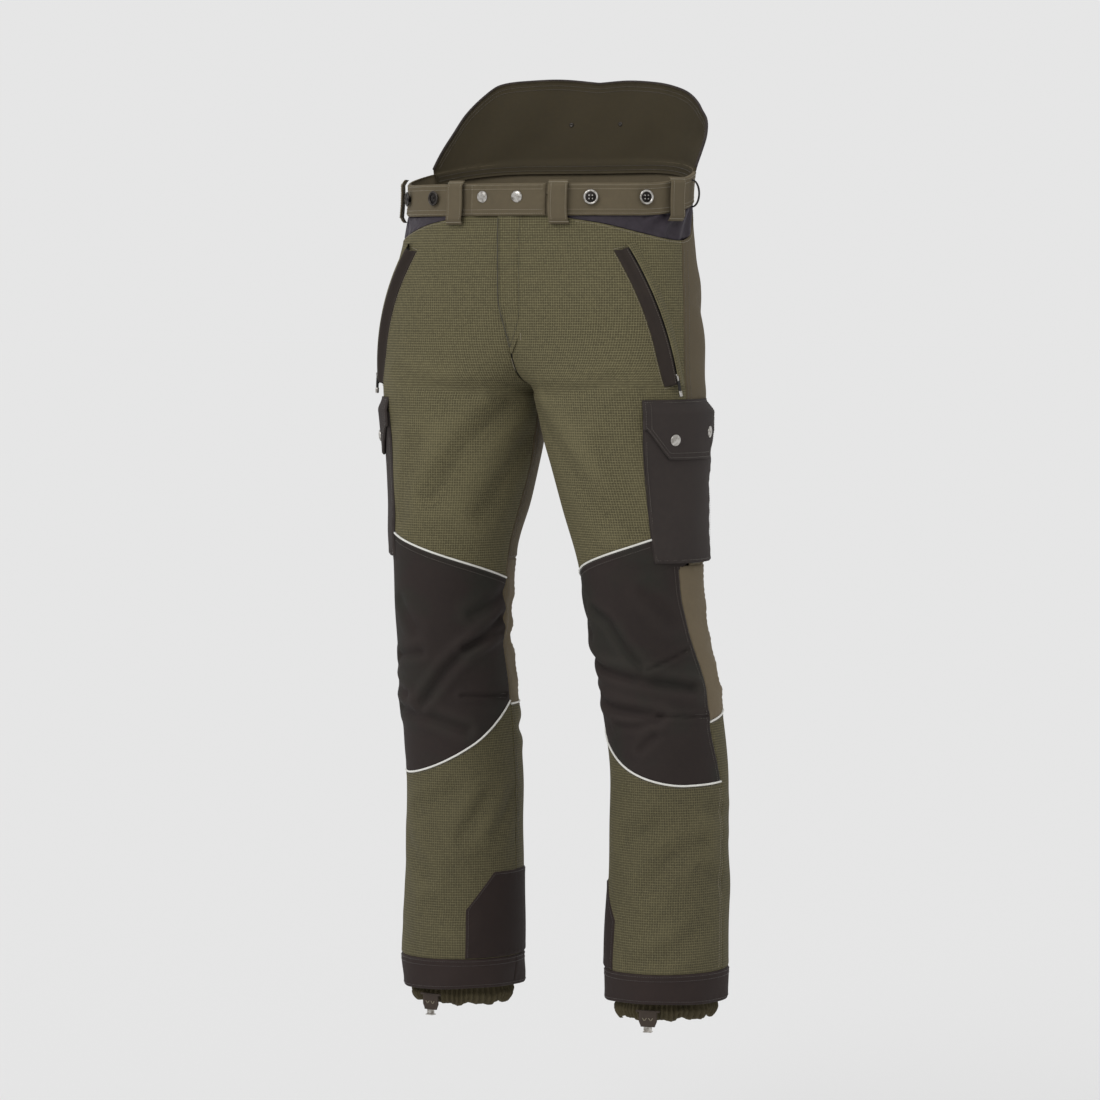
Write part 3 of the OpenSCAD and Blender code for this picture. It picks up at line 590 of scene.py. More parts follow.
# A darker copy of the polished snap metal, used as painted shade on the brace buttons that face away from the camera.
SHADED_METAL = metal("button_metal_dark", (74, 70, 66), 0.3, (36, 33, 31))
BLACK = metal("button_dish_black", (52, 49, 47), 0.38, (24, 22, 21))

# ---------------------------------------------------------------- stitches
STITCHES = {}


def sew(group, face, line, thread_kind=LIGHT_THREAD, pitch=3.1, lift=0.25, size=(2.25, 0.62)):
    """A row of stitches along a broken line of (angle, height) points on a face."""
    line = np.asarray(line, float)
    t = np.linspace(0, len(line) - 1, 60 * (len(line) - 1) + 1)
    k = np.minimum(t.astype(int), len(line) - 2)
    a, z = (lerp(line[k, c], line[k + 1, c], t - k) for c in (0, 1))
    p, n = face(a, z, lift)
    sew_on(group, p, n, thread_kind, pitch, size)


def sew_on(group, p, n, thread_kind=LIGHT_THREAD, pitch=3.1, size=(2.25, 0.62)):
    """The same along points p with normals n. Rows are kept until stitch_objects() makes them."""
    far = np.concatenate([[0], np.cumsum(np.linalg.norm(np.diff(p, axis=0), axis=1))])
    count = int(far[-1] / pitch)
    if count < 1:
        return
    at = (np.arange(count) + 0.5) * far[-1] / count
    spot = lambda w, v: np.stack([np.interp(w, far, v[:, c]) for c in range(3)], -1)
    centre, normal = spot(at, p), spot(at, n)
    along = spot(at + 0.6, p) - spot(at - 0.6, p)
    along /= np.linalg.norm(along, axis=1)[:, None]
    normal -= along * (normal * along).sum(1)[:, None]
    normal /= np.linalg.norm(normal, axis=1)[:, None]
    STITCHES.setdefault((group, thread_kind.name), []).append((centre, along, normal, size))


def stitch_objects():
    """All stitches of one thread on one body, as one piece."""
    turn = np.linspace(0, 2 * math.pi, 6, endpoint=False)
    for (group, kind), rows in STITCHES.items():
        parts, start, faces = [], 0, []
        for centre, along, normal, (length, width) in rows:
            across = np.cross(normal, along)
            rings = []
            for x, fat, sink in ((-0.5, 0.35, -0.55), (-0.25, 1, 0), (0.25, 1, 0), (0.5, 0.35, -0.55)):
                mid = centre + along * (x * length) + normal * (sink * width)
                rings.append(mid[:, None] + fat * width / 2 * (across[:, None] * np.cos(turn)[:, None]
                             + 0.8 * normal[:, None] * np.sin(turn)[:, None]))
            verts = np.stack(rings, 1)  # stitch, ring, corner, xyz
            ids = start + np.arange(verts.shape[0] * 24).reshape(-1, 4, 6)
            nxt = np.roll(ids, -1, axis=2)
            faces.append(np.stack([ids[:, :-1], nxt[:, :-1], nxt[:, 1:], ids[:, 1:]], -1).reshape(-1, 4))
            parts.append(verts.reshape(-1, 3))
            start += verts.shape[0] * 24
        material = bpy.data.materials[kind]
        place(mesh_object(f"{group}_{kind}", np.concatenate(parts), np.concatenate(faces), material), group)


def place(obj, group):
    """Rides a piece on its body, or bakes its transform into its mesh if the group is a whole leg."""
    side, _, rest = group.partition("_")
    if rest == "leg":
        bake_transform(obj)
    else:
        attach(obj, group)


def wear(obj, group, finish, *nodes):
    """Places a piece and lets it stand for the CAD nodes named."""
    place(obj, group)
    if nodes:
        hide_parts(*nodes)


# ---------------------------------------------------------------- outlines, as in the CAD
BAND_H, BACK_RISE, HEM, HEM_H = 41, 32, -1052, 40
HEM_TOP = HEM + HEM_H
DIP = [[0, 0], [20, 0], [26, 4], [38, 10], [56, 22], [85, 38], [96, 34], [116, 0], [180, 0]]
YOKE_LINE = [[106, 5], [112, 22], [120, 45], [127, 69], [136, 92], [142, 103], [154, 107], [166, 108], [180, 103]]
YOKE_LEFT = [[106, 3], [111, 26], [118, 52], [126, 72], [136, 88], [146, 97], [156, 102], [168, 105], [180, 103]]
STRETCH_TOP, BACK_PIPING = -486, -679


def level(value):
    return lambda x: value + 0.0 * np.asarray(x, float)


def band_top(a):
    return BACK_RISE * smooth((abs(a) - 55) / 100)


def band_bottom(a):
    return band_top(a) - BAND_H


def panel_top(a):
    return band_bottom(a) - 0.3 - curve(DIP, clamp(np.asarray(a, float) / 180) * 180)[..., 1]


def side_seam(z):
    return 84 - 3 * smooth((-60 - z) / 190) + 9 * smooth((-640 - z) / 120)


def knee_top(a):
    return -470 + 0.45 * a


def knee_low(a):
    a = np.asarray(a, float)
    return -770 + np.where(a < 45, 97 * (clamp((45 - a) / 135)) ** 1.9, 2 * ((a - 45) / 45) ** 2)


def back_piping(a):
    """Height of the reflective trim across the back of the knee."""
    return BACK_PIPING - 0.25 * np.maximum(0, 118 - a)


def knee_side(z):
    low = 67 + 11.5 * smooth((-520 - z) / 110) + 10 * smooth((-690 - z) / 85)
    return lerp(low, side_seam(z), smooth((z - STRETCH_TOP) / 4))


def wrap(a):
    return np.where(np.asarray(a, float) > 180, np.asarray(a, float) - 360, a)


def line(a0, a1, height, count=24):
    a = np.linspace(a0, a1, count)
    return np.stack([a, height(a)], -1)


def upright(z0, z1, angle, count=24):
    z = np.linspace(z0, z1, count)
    return np.stack([angle(z), z], -1)


# ---------------------------------------------------------------- legs
def with_folds(face, side):
    face.folds = lambda a, z: fold_height(side, a, z)
    return face


def guard_top(a):
    return -899 - 48 * clamp((a + 60) / 28) - 48 * clamp((-122 - a) / 28)


def build_leg(side):
    group, shin_body = f"{side}_leg", f"{side}_lower_leg"
    face = with_folds(leg_face(side), side)
    own = lambda name: f"{side}_{name}"

    ribs = lambda a, z, u, v: 0.35 * np.sin(v / 1.1) * smooth((a - 80) / 20)
    calf_side = lambda z: np.where(z > -771, knee_side(z), side_seam(z))
    seat_line, hem_line = level(STRETCH_TOP), level(HEM_TOP)
    panels = (  # name, edges, material, slot, CAD nodes, more for cloth()
        ("front", [front_seam, side_seam, knee_top, panel_top], OLIVE, "olive_ripstop", ["front_panel"], {}),
        ("back", [side_seam, back_seam, seat_line, panel_top], KHAKI, "khaki_stretch", ["back_panel"], {}),
        ("knee_back", [knee_side, level(270), back_piping, seat_line], STRETCH, "khaki_stretch", [],
         {"wave": ribs}),
        ("knee", [level(-90), knee_side, knee_low, knee_top], KNEE, "charcoal_cloth",
         ["knee_upper", "knee_lower"], {"bulge": 1.2}),
        ("shin_front", [level(-90), side_seam, hem_line, knee_low], SHIN, "olive_ripstop", [], {}),
        ("shin_back", [calf_side, level(270), hem_line, back_piping], SHIN, "olive_ripstop", ["shin_panels"], {}))
    for name, edges, material, finish, nodes, more in panels:
        wear(cloth(own(f"{name}_cloth"), face, edges, material, **more), group, finish, *map(own, nodes))

    # Inner guard, hem band and gaiter.
    over = with_folds(leg_face(side, 1.5), side)
    guard = cloth(own("guard_cloth"), over, [level(-150), level(-32), level(HEM_TOP + 1), guard_top], GUARD)
    wear(guard, shin_body, "charcoal_cloth", own("inner_guard"))
    sway = 0.0 if side == "left" else 2.0

    def hem_face(a, z, d=0.0):
        t, low = np.radians(a), smooth((HEM_TOP - 6 - z) / 30)
        out = low * (1.6 * np.sin(3 * t + sway) + 1.2 * np.sin(7 * t + 1 + sway))
        return leg_face(side, 0.5)(a, z + low * 1.6 * np.sin(2 * t + 1.2 + sway), d + out)

    hem = cloth(own("hem_cloth"), hem_face, [level(-90), level(270), level(HEM), hem_line], HEM_CLOTH, thick=2.2)
    wear(hem, shin_body, "charcoal_cloth", own("hem_band"))

    def tuck(a, z, d=0.0):
        t, low = np.radians(a), smooth((-1050 - z) / 22)
        rise = low * (2.5 * (1 + np.cos(t - 0.3)) + 1.6 * np.sin(9 * t + sway) + 1.2 * np.sin(17 * t))
        drawn = 3.5 * smooth((-1064 - z) / 12)
        return leg_face(side, 0, 0)(a, z + rise, lerp(-14.5, -2.8, smooth((z - HEM) / 45)) - drawn + d)

    def gather(a, z, u, v):
        pleats = 2.3 * np.sin(u / 1.35 + 1.8 * np.sin(u / 13)) * (1 - 0.4 * smooth((-1072 - z) / 5))
        rings = 1.6 * np.sin((z + 1078) / 5.0) * (1 + 0.5 * np.sin(u / 23))
        return smooth((-1040 - z) / 16) * (pleats + 1.0 * np.sin(u / 8) + rings)

    gaiter = cloth(own("gaiter_cloth"), tuck, [level(-90), level(270), level(-1078), level(HEM + 30)], GAITER,
                   spacing=FINE / 3, wave=gather, thick=1.2)
    wear(gaiter, shin_body, "olive_cloth", own("gaiter"))

    # Piping.
    for name, rim, nodes in (("knee_top_trim", line(-89, 42, knee_top, 90), ["knee_top_piping"]),
                             ("shin_trim", line(-89, 88, knee_low, 110), [own("shin_piping")]),
                             ("back_trim", line(77.5, 269.5, back_piping, 150), [])):
        p, n = face(*rim.T, 0.5)
        verts, faces, uv = tube(p, 1.35, 10, normals=n)
        wear(mesh_object(own(name), verts, faces, PIPING, uv), group, "reflective_piping", *nodes)

    # Inside: quilted cut protection, lining and pocket bag.
    cell = lambda x: abs(np.sin(x)) ** 0.5
    quilt = lambda a, z, u, v: 1.6 * cell(u / 22 + v / 44) * cell(u / 22 - v / 44) - 1.6
    pad_inner = lambda z: np.where(z > CROTCH, front_seam(z) + 16, -66.0)
    pad = cloth(own("cut_pad"), leg_face(side, -5.2, 0.5), [pad_inner, level(74), level(HEM_TOP + 20), level(-120)],
                PAD, thick=5.2, spacing=FINE * 1.6, wave=quilt, roll=2.2, pucker=0)
    wear(pad, group, "cut_protection", "thigh_cut_pads", own("shin_cut_pad"))
    inset = lambda z: np.where(z > CROTCH, 3, 0.2)
    lining_edges = [lambda z: front_seam(z) + inset(z), lambda z: back_seam(z) - inset(z), level(HEM + 34),
                    lambda a: np.minimum(-48, band_bottom(wrap(a)) - 4)]
    lining = cloth(own("lining_cloth"), leg_face(side, -13.5, 0.4), lining_edges, LINING,
                   thick=1.0, spacing=FINE * 1.7, pucker=0)
    wear(lining, group, "lining", "upper_lining")
    bag_edges = [lambda z: 24 + 14 * smooth((-120 - z) / 120), lambda z: side_seam(z) - 8, level(-252), level(-92)]
    bag = cloth(own("pocket_bag_cloth"), leg_face(side, -3.2, 0.6), bag_edges, LINING,
                thick=1.0, spacing=FINE * 1.7)
    wear(bag, "waist", "lining", "pocket_bags")

    # Stitches on the seams.
    beside = lambda edge, off: lambda z: edge(z) + off / MM_PER_DEGREE
    for off in (2.6, 8.4):
        sew(group, face, line(-88, 40, lambda a: knee_top(a) - off), DARK_THREAD)
    for off in (2.4, 8.0):
        sew(group, face, upright(-770, -486, beside(knee_side, -off)), DARK_THREAD)
        sew(group, face, upright(-1008, -776, beside(side_seam, -off), 30), LIGHT_THREAD)
        sew(group, face, upright(-470, -84, beside(side_seam, off), 30), DARK_THREAD)
        sew(group, face, upright(-1008, -275, beside(level(270), -off), 50), DARK_THREAD)
    sew(group, face, line(-88, 86, lambda a: knee_low(a) - 3.2), DARK_THREAD)
    sew(group, face, line(80, 268, level(STRETCH_TOP + 3)), DARK_THREAD)
    sew(group, face, line(80, 268, lambda a: back_piping(a) - 3.4), DARK_THREAD)
    for height in (HEM_TOP - 3, HEM_TOP - 8.5, HEM + 4):
        sew(shin_body, hem_face, line(-90, 270, level(height), 60), HEM_THREAD)
    rim = np.concatenate([upright(HEM_TOP + 2, -899 - 2, level(-147)), line(-147, -35, lambda a: guard_top(a) - 3, 40),
                          upright(-949, HEM_TOP + 2, level(-34.2))])
    sew(shin_body, over, rim, HEM_THREAD)
    darts = {"left": [[(21.5, -618), (65.5, -593)], [(23, -678), (76, -681)]], "right": [[(-33, -664), (-82, -667)]]}
    for (a0, z0), (a1, z1) in darts[side]:
        for off in (-2.6, 2.6):
            sew(group, face, [(a0, z0 + off), (a1, z1 + off)], DARK_THREAD)


# ---------------------------------------------------------------- cargo pockets
GUSSET, FLAP_Z, FLAP_H = 9.5, -274, 76  # the gusset hangs half folded
CARGO_A, CARGO_Z = (42, 114), (-482, -294)
CAP_SPOTS = ((64, -325), (100, -316))


def cargo_lift(a):
    return lerp(2.6, GUSSET, smooth((a - CARGO_A[0]) / 46))


def flap_low(a):
    return FLAP_Z - FLAP_H + 38 * clamp((60 - a) / 16) + 38 * clamp((a - 99) / 16)


def build_cargo(side):
    own = lambda name: f"{side}_{name}"
    base = leg_face(side, 0.0, 0.45)
    (a0, a1), (z0, z1) = CARGO_A, CARGO_Z
    pouch_sag = lambda a, z: 1.4 * smooth((a - 50) / 20) * smooth((z + 482) / 40) * smooth((-310 - z) / 90)
    face = lambda a, z, d=0.0: base(a, z, cargo_lift(a) + pouch_sag(a, z) + d)
    puff = lambda a, z, u, v: 0.9 * np.sin(v / 23 + 0.8 * np.sin(u / 31)) * np.sin(u / 37 + 1.2)
    front = cloth(own("cargo_pouch_cloth"), face, [level(a0), level(a1), level(z0), level(z1)], CHARCOAL,
                  roll=2.6, rolled="lrb", wave=puff)
    wear(front, "waist", "charcoal_cloth", own("cargo_pocket"))
    walls = []
    for a, wall, material in ((a1 - 0.9, "rear", ELASTIC), (a0 + 0.3, "front", CHARCOAL)):
        z, t = np.meshgrid(np.linspace(z0 + 1, z1, 44), np.linspace(0, 1, 9))
        fold = 3.2 * np.sin(math.pi * t) ** 2 * smooth((cargo_lift(a) - 5) / 6)
        depth = 0.6 + t * (cargo_lift(a) + pouch_sag(a, z) - 1.8)
        p, n = base(a - fold / MM_PER_DEGREE, z, depth)
        inner, _ = base(a - fold / MM_PER_DEGREE - 0.8, z, depth)
        uv = np.stack([depth, z], -1).reshape(-1, 2) * MM
        # The fold depth, negated, goes to the ridge mark, so fabric() paints shade into the gusset's fold.
        walls.append(sheet_object(own(f"cargo_{wall}_gusset"), p, inner, material, uv,
                                  {"edge": z * 0 + 9, "ridge": -fold}, side == "right"))
    a, t = np.meshgrid(np.linspace(a0, a1, 60), np.linspace(0, 1, 5))
    depth = t * (cargo_lift(a) - 1.4) + 0.3
    p, _ = base(a, z0 + 0 * a, depth)
    inner, _ = base(a, z0 + 1.2 + 0 * a, depth)
    uv = np.stack([a * MM_PER_DEGREE, depth], -1).reshape(-1, 2) * MM
    walls.append(sheet_object(own("cargo_floor_gusset"), p, inner, CHARCOAL, uv,
                              {"edge": a * 0 + 9, "ridge": a * 0}, side != "right"))
    for wall in walls:
        wear(wall, "waist", "charcoal_cloth")

    def over(a, z, d=0.0):
        below = FLAP_Z - z
        lift = 2.6 + (cargo_lift(a) + 1.2) * smooth(below / 18) + 1.2 * smooth((below - 20) / 40)
        return leg_face(side, 0, 0.2)(a, z, d + lift)

    flap = cloth(own("flap_cloth"), over, [level(41), level(115), flap_low, level(FLAP_Z)], CHARCOAL, thick=1.8,
                 rolled="lrb", roll=1.4, wave=lambda a, z, u, v: 0.5 * np.sin(u / 19) * smooth(v / 50))
    wear(flap, own("cargo_flap"), "charcoal_cloth", own("cargo_flap"))
    # Stitches.
    for off in (2.8, 8.5):
        left, right = 41 + off / 1.45, 115 - off / 1.45
        rim = np.concatenate([upright(FLAP_Z - 4, -308, level(left)),
                              line(left, right, lambda a: flap_low(a) + off, 60),
                              upright(-316, FLAP_Z - 4, level(right))])
        sew(own("cargo_flap"), over, rim, DARK_THREAD)
    sew(own("cargo_flap"), over, line(42, 114, level(FLAP_Z - 3)), DARK_THREAD)
    for number, (a, z) in enumerate(CAP_SPOTS, 1):
        a, z = float(a), float(z)
        across = over(np.array([a - 3, a + 3]), np.array([z, z]))[0]
        up = over(np.array([a, a]), np.array([z - 6, z + 6]))[0]
        out = np.cross(across[1] - across[0], up[1] - up[0]) * (1 if side == "left" else -1)
        for name, profile, at, body, nodes in (
                ("flap_cap", CAP, over(np.array(a), np.array(z))[0], own("cargo_flap"), "flap_caps"),
                ("cargo_stud", STUD, face(np.array(a), np.array(z), 0.1)[0], "waist", "cargo_studs")):
            verts, faces, uv = lathe(profile, at, out)
            obj = mesh_object(own(f"{name}_{number}"), verts, faces, SILVER, uv)
            wear(obj, body, "snap_metal", own(nodes))
    for rim in (upright(z0 + 4, z1 - 20, level(a0 + 2)), upright(z0 + 4, z1 - 20, level(a1 - 3)),
                line(a0 + 2, a1 - 2, level(z0 + 4), 50)):
        sew("waist", face, rim, DARK_THREAD)


# ---------------------------------------------------------------- waist
def whole_top(a):
    return band_top(wrap(a))


def build_band():
    band = ring_face(1.5)
    low = lambda a: band_bottom(wrap(a))
    obj = cloth("waistband_cloth", band, [level(16.7), level(368), low, whole_top], BAND, thick=3, pucker=0.25,
                wave=lambda a, z, u, v: 0.35 * np.sin(u / 31) * np.sin(v / 13))
    wear(obj, "waist", "khaki_stretch", "waistband")
    tab_face = ring_face(4.8)
    tab_end = lambda z: -15.0 + 0.03 * (z + BAND_H) + 3.2 * clamp(abs(z + 20.5) / 20.5) ** 6
    obj = cloth("waist_tab_cloth", tab_face, [tab_end, level(16), level(-BAND_H), level(0)], BAND,
                thick=2.2, spacing=FINE * 0.7)
    wear(obj, "waist_tab", "khaki_stretch", "waist_tab")
    for off in (2.6, 7.6):
        sew("waist", band, line(18, 366, lambda a: whole_top(a) - off, 160))
        sew("waist", band, line(18, 366, lambda a: low(a) + off, 160))
        sew("waist_tab", tab_face, line(-13.5, 15, level(-off), 20))
        sew("waist_tab", tab_face, line(-14, 15, level(-BAND_H + off), 20))
    sew("waist_tab", tab_face, upright(-38, -3, level(-13.4), 10))


YOKE_FACING = 15.0  # the yoke runs down behind the waistband


def yoke_top(a):
    turn = wrap(a)
    rise = np.where(turn > 0, curve(YOKE_LEFT, abs(turn))[..., 1], curve(YOKE_LINE, abs(turn))[..., 1])
    return whole_top(a) + rise


def yoke_face(a, z, d=0.0):
    """The raised back leans out at the wearer's left, and its foot is tucked behind the band."""
    up = z - whole_top(a)
    folds = 1.6 * np.sin(a / 9.0) * smooth(up / 60) + 0.8 * np.sin(a / 4.1 + z / 23) * smooth(up / 30)
    leaning = 9 * smooth(up / 45) * np.exp(-(((a - 116) / 22) ** 2))
    crease = -1.6 * np.exp(-(((a - 133 + up / 9) / 3.5) ** 2)) * smooth(up / 25)
    return ring_face(1.5)(a, z, d + folds + leaning + crease - 3.6 * smooth((0.5 - up) / 1.5))


def build_yoke():
    edges = [level(106), level(254), lambda a: whole_top(a) - YOKE_FACING, yoke_top]
    wear(cloth("yoke_cloth", yoke_face, edges, YOKE, thick=2), "waist", "olive_cloth", "back_yoke")
    a = np.linspace(106.3, 253.7, 150)
    p, _ = yoke_face(a, yoke_top(a), -1.4)
    verts, faces, uv = tube(p + [0, 0, 0.6], 1.9, 12, squash=0.9)
    obj = mesh_object("yoke_binding_cloth", verts, faces, CHARCOAL, uv)
    wear(obj, "waist", "charcoal_cloth", "yoke_binding")
    inside = lambda a, z, d=0.0: (yoke_face(a, z, -2.2 - d)[0], -yoke_face(a, z)[1])
    rim = lambda off: line(110, 250, lambda a: yoke_top(a) - off, 90)
    foot = lambda off: line(108, 252, lambda a: whole_top(a) - off, 90)
    for face, row in ((inside, rim(6)), (inside, rim(11)), (inside, foot(5)), (inside, foot(10.5)),
                      (yoke_face, rim(8)), (yoke_face, rim(12.5)), (yoke_face, foot(-3.5))):
        sew("waist", face, row, DARK_THREAD)


def build_mesh_inserts():
    drape = lambda a, z, u, v: -1.6 + 2.3 * np.sin(u / 6.0 - v / 7 + np.sin(v / 11)) * smooth((a - 48) / 26)
    edges = [level(24), level(114), lambda a: panel_top(a) + 0.2, lambda a: band_bottom(a) - 0.2]
    for side in ("left", "right"):
        obj = cloth(f"{side}_mesh_cloth", leg_face(side, -0.4, 0), edges, MESH, spacing=FINE * 0.7, wave=drape,
                    thick=1.0)
        wear(obj, "waist", "mesh", "hip_mesh_inserts")
        sew("waist", leg_face(side, 0.0), line(27, 113, lambda a: panel_top(a) - 2.6, 50))


LOOP_ANGLES = (-128, -77, -21, 21, 77, 128, 180)
LOOP_W, LOOP_L, LOOP_BOW = 25.0, 56.0, 5.5  # width, length and how far a loop stands off the band


def build_belt_loops():
    half = LOOP_W / 2
    row = np.linspace(-half, half, 12)
    crown = 0.5 * (1 - (row / half) ** 4)
    v = np.linspace(0, 1, 40)
    bow = LOOP_BOW * np.clip(np.minimum(v, 1 - v) / 0.13, 0, 1) ** 0.75 + 0.8
    uv = np.stack(np.meshgrid(row, np.linspace(-LOOP_L, 0, 40)), -1).reshape(-1, 2) * MM
    loops = []
    for a in LOOP_ANGLES:
        z0 = float(band_top(np.array(float(a)))) + 4
        _, n0 = ring_face(1.5)(np.array(float(a)), np.array(z0 - LOOP_L / 2))
        across = np.array([-n0[1], n0[0], 0])
        outer, inner = [], []
        for t, out in zip(v, bow):
            base, n = ring_face(1.5)(np.array(float(a)), np.array(z0 - t * LOOP_L))
            outer.append(base + row[:, None] * across + n * (out + 1.6 + crown)[:, None])
            inner.append(base + row[:, None] * across + n * (out + 0 * row)[:, None])
        outer, inner = np.array(outer)[::-1], np.array(inner)[::-1]
        marks = {"edge": np.tile(half - abs(row), (40, 1)), "ridge": outer[..., 0] * 0}
        flipped = float(np.dot(np.cross(outer[20, 8] - outer[20, 4], outer[24, 6] - outer[16, 6]), n0)) < 0
        name = f"belt_loop_{'r' if a < 0 else 'l'}{abs(a)}"
        loops.append(sheet_object(name, outer, inner, BAND, uv, marks, flipped))
        k = np.linspace(4, 36, 33).astype(int)
        for x in (-9.6, 9.6):
            sew_on("waist", outer[k][:, 6] + across * x + n0 * 0.2, np.tile(n0, (len(k), 1)))
        for k in (2, 37):
            sew_on("waist", outer[k] + n0 * 0.25, np.tile(n0, (12, 1)), LIGHT_THREAD, 1.1, (2.4, 0.7))
    for obj in loops:
        wear(obj, "waist", "khaki_stretch", "belt_loops")


def build_brace_buttons():
    """A metal ring with four rivets round a dark dish. All but the two on the front left get a darker copy of the
    polished metal: painted shade for the buttons that face away from the camera.
    """
    for kind, spots, z in (("front", (-59, -34, 34, 59), -18), ("rear", (-170, 170), 82)):
        for number, a in enumerate(spots, 1):
            p, n = ring_face(1.5)(np.array(float(a)), np.array(float(z)))
            # Painted shade: the buttons facing away from the camera get the darker copy of the metal.
            finish = SHADED_METAL if a < 0 or kind == "rear" else SILVER
            ring = [lathe(RING, p + n * 3.4, n)]
            if kind == "rear":
                ring.append(lathe(BACKPLATE, p - n * 1.6, -n))
            across, up = np.cross([0, 0, 1.0], n), np.array([0, 0, 1.0])
            for turn in (45, 135, 225, 315):
                off = across * math.cos(math.radians(turn)) + up * math.sin(math.radians(turn))
                ring.append(lathe(RIVET, p + n * 4.6 + off * 2.9, n, 12))
            dish = [lathe(DISH, p + n * 3.4, n), lathe(SHANK, p + n * 3.2, n)]
            for part, pieces, metal_kind in (("ring", ring, finish), ("dish", dish, BLACK)):
                verts, faces, uv = join(pieces)
                obj = mesh_object(f"{kind}_button_{number}_{part}", verts, faces, metal_kind, uv)
                wear(obj, "waist", "button_metal", f"{kind}_brace_buttons")


def build_seam_tape():
    """The tape inside the centre seam, from the front band under the crotch and up to the back band."""
    z = np.linspace(-44, CROTCH + 0.5, 80)
    high = np.linspace(-11, CROTCH + 0.5, 90)
    front, rear = leg(front_seam(z), z)[0], leg(back_seam(high), high)[0]
    path = np.concatenate([front, rear[::-1]]) * [0, 1, 1]
    tangent = np.gradient(path, axis=0)
    inward = np.cross([1.0, 0, 0], tangent)
    inward /= np.linalg.norm(inward, axis=1)[:, None]
    half = 11.0
    x = np.linspace(-half, half, 5)
    lay = lambda depth: path[:, None] + x[None, :, None] * np.array([1.0, 0, 0]) + inward[:, None] * depth
    far = np.concatenate([[0], np.cumsum(np.linalg.norm(np.diff(path, axis=0), axis=1))])
    uv = np.stack(np.meshgrid(x, far), -1).reshape(-1, 2) * MM
    marks = {"edge": np.tile(half - abs(x), (len(path), 1)), "ridge": np.zeros((len(path), 5))}
    wear(sheet_object("centre_seam_tape", lay(2.0), lay(3.0), LINING, uv, marks, True), "waist", "lining")


def build_elastic_loops():
    up = np.array([0, 0, 1.0])
    t = np.linspace(0, math.pi, 34)
    for side in ("left", "right"):
        p0, n0 = (flip(side, v) for v in leg(96.0, float(band_top(np.array(96.0))) - 24))
        path = p0 + n0 * (2.4 + 9.5 * np.sin(t))[:, None] + up * (17.0 * np.cos(t))[:, None]
        out = n0 * np.sin(t)[:, None] + up * np.cos(t)[:, None]
        verts, faces, uv = tube(path, 3.0, 12, squash=0.36, normals=out)
        obj = mesh_object(f"{side}_elastic_loop", verts, faces, ELASTIC, uv)
        wear(obj, "waist", "black_trim", "side_elastic_loops")


# ---------------------------------------------------------------- fly
TOOTH = 2.4  # pitch of the zip teeth


def front_y(x, z):
    s = curve(SECTIONS, z)
    half = (s[..., 1] - s[..., 2]) / 2
    u = (abs(x) - (s[..., 1] + s[..., 2]) / 2) / half
    return s[..., 3] - s[..., 4] * (1 - np.minimum(1, abs(u)) ** s[..., 6]) ** (1 / s[..., 6])


def fly_face(x, z, d=0.0):
    y = np.minimum(front_y(0 * x, z), front_y(x, z))
    p = np.stack([x + 0 * z, y - d - 0.6, z + 0 * x], -1)
    return p, np.broadcast_to([0, -1.0, 0], p.shape)


def build_fly():
    lap = lambda z: -10 + 10 * smooth((-143 - z) / 70)
    far = lambda z: np.maximum(24 - 24 * clamp((-160 - z) / 60) ** 2, lap(z) + 2)
    taper = lambda x: lerp(1.7, -1.6, smooth((x - 8) / 15))
    obj = cloth("fly_cloth", fly_face, [lap, far, level(-216), level(-41.5)], OLIVE,
                thick=1.6, spacing=FINE * 0.6, rolled="l", roll=0.8, wave=lambda x, z, u, v: taper(x))
    wear(obj, "waist", "olive_ripstop", "fly_placket")
    on = lambda x, z, d=0.0: fly_face(x, z, d + np.maximum(taper(x), -0.5) + 0.15)
    z = np.linspace(-44, -208, 60)
    verts, faces, uv = tube(on(lap(z) + 0.5, z, 0.1)[0], 0.55, 8)
    wear(mesh_object("fly_edge_seam", verts, faces, SEAM, uv), "waist", "olive_ripstop")
    for x in (lap(z) + 3.0, 20 - 20 * clamp((-150 - z) / 60) ** 2):
        sew("waist", on, np.stack([x, z], -1), SEAM)
    for x, z0, z1 in ((1.0, -223, -238), (20.0, -190, -199)):
        sew("waist", on, upright(z0, z1, level(x), 8), LIGHT_THREAD, 1.2, 0.3, (1.5, 0.9))
    # Zip tapes and teeth behind the lap.
    tapes, teeth = [], []
    top, end = np.array([0, -114.0, -50]), np.array([0, -103.0, -205])
    length = float(np.linalg.norm(end - top))
    run = (end - top) / np.linalg.norm(end - top)
    out = np.cross(run, [1.0, 0, 0])
    out *= -np.sign(out[1])
    for m in (-1, 1):
        tapes.append(block((top + end) / 2 + [m * 6.9, 0, 0], [1, 0, 0], -run, out, (12, length, 0.6)))
        for i in range(int(length / TOOTH)):
            at = top + run * (1.5 + TOOTH * i + (0.6 if m > 0 else 0)) + [m * 1.6, 0, 0]
            teeth.append(block(at, [1, 0, 0], -run, out, (2.0, 1.2, 1.6)))
    for name, pieces, material in (("fly_zip_tape", tapes, ZIP), ("fly_zip_teeth", teeth, TEETH)):
        verts, faces, uv = join(pieces)
        wear(mesh_object(name, verts, faces, material, uv, flat=True), "waist", "black_trim", "fly_zip")


# ---------------------------------------------------------------- slant pockets
POCKET_A, POCKET_Z = np.array([47, 59.5, 69]), np.array([-82.0, -168, -254])
STRIP_STEP = 2.2  # spacing of a strip's grid along the zip, and the width of its rounded edge
PER_DEGREE = 0.01745  # radians, for the strips' uv


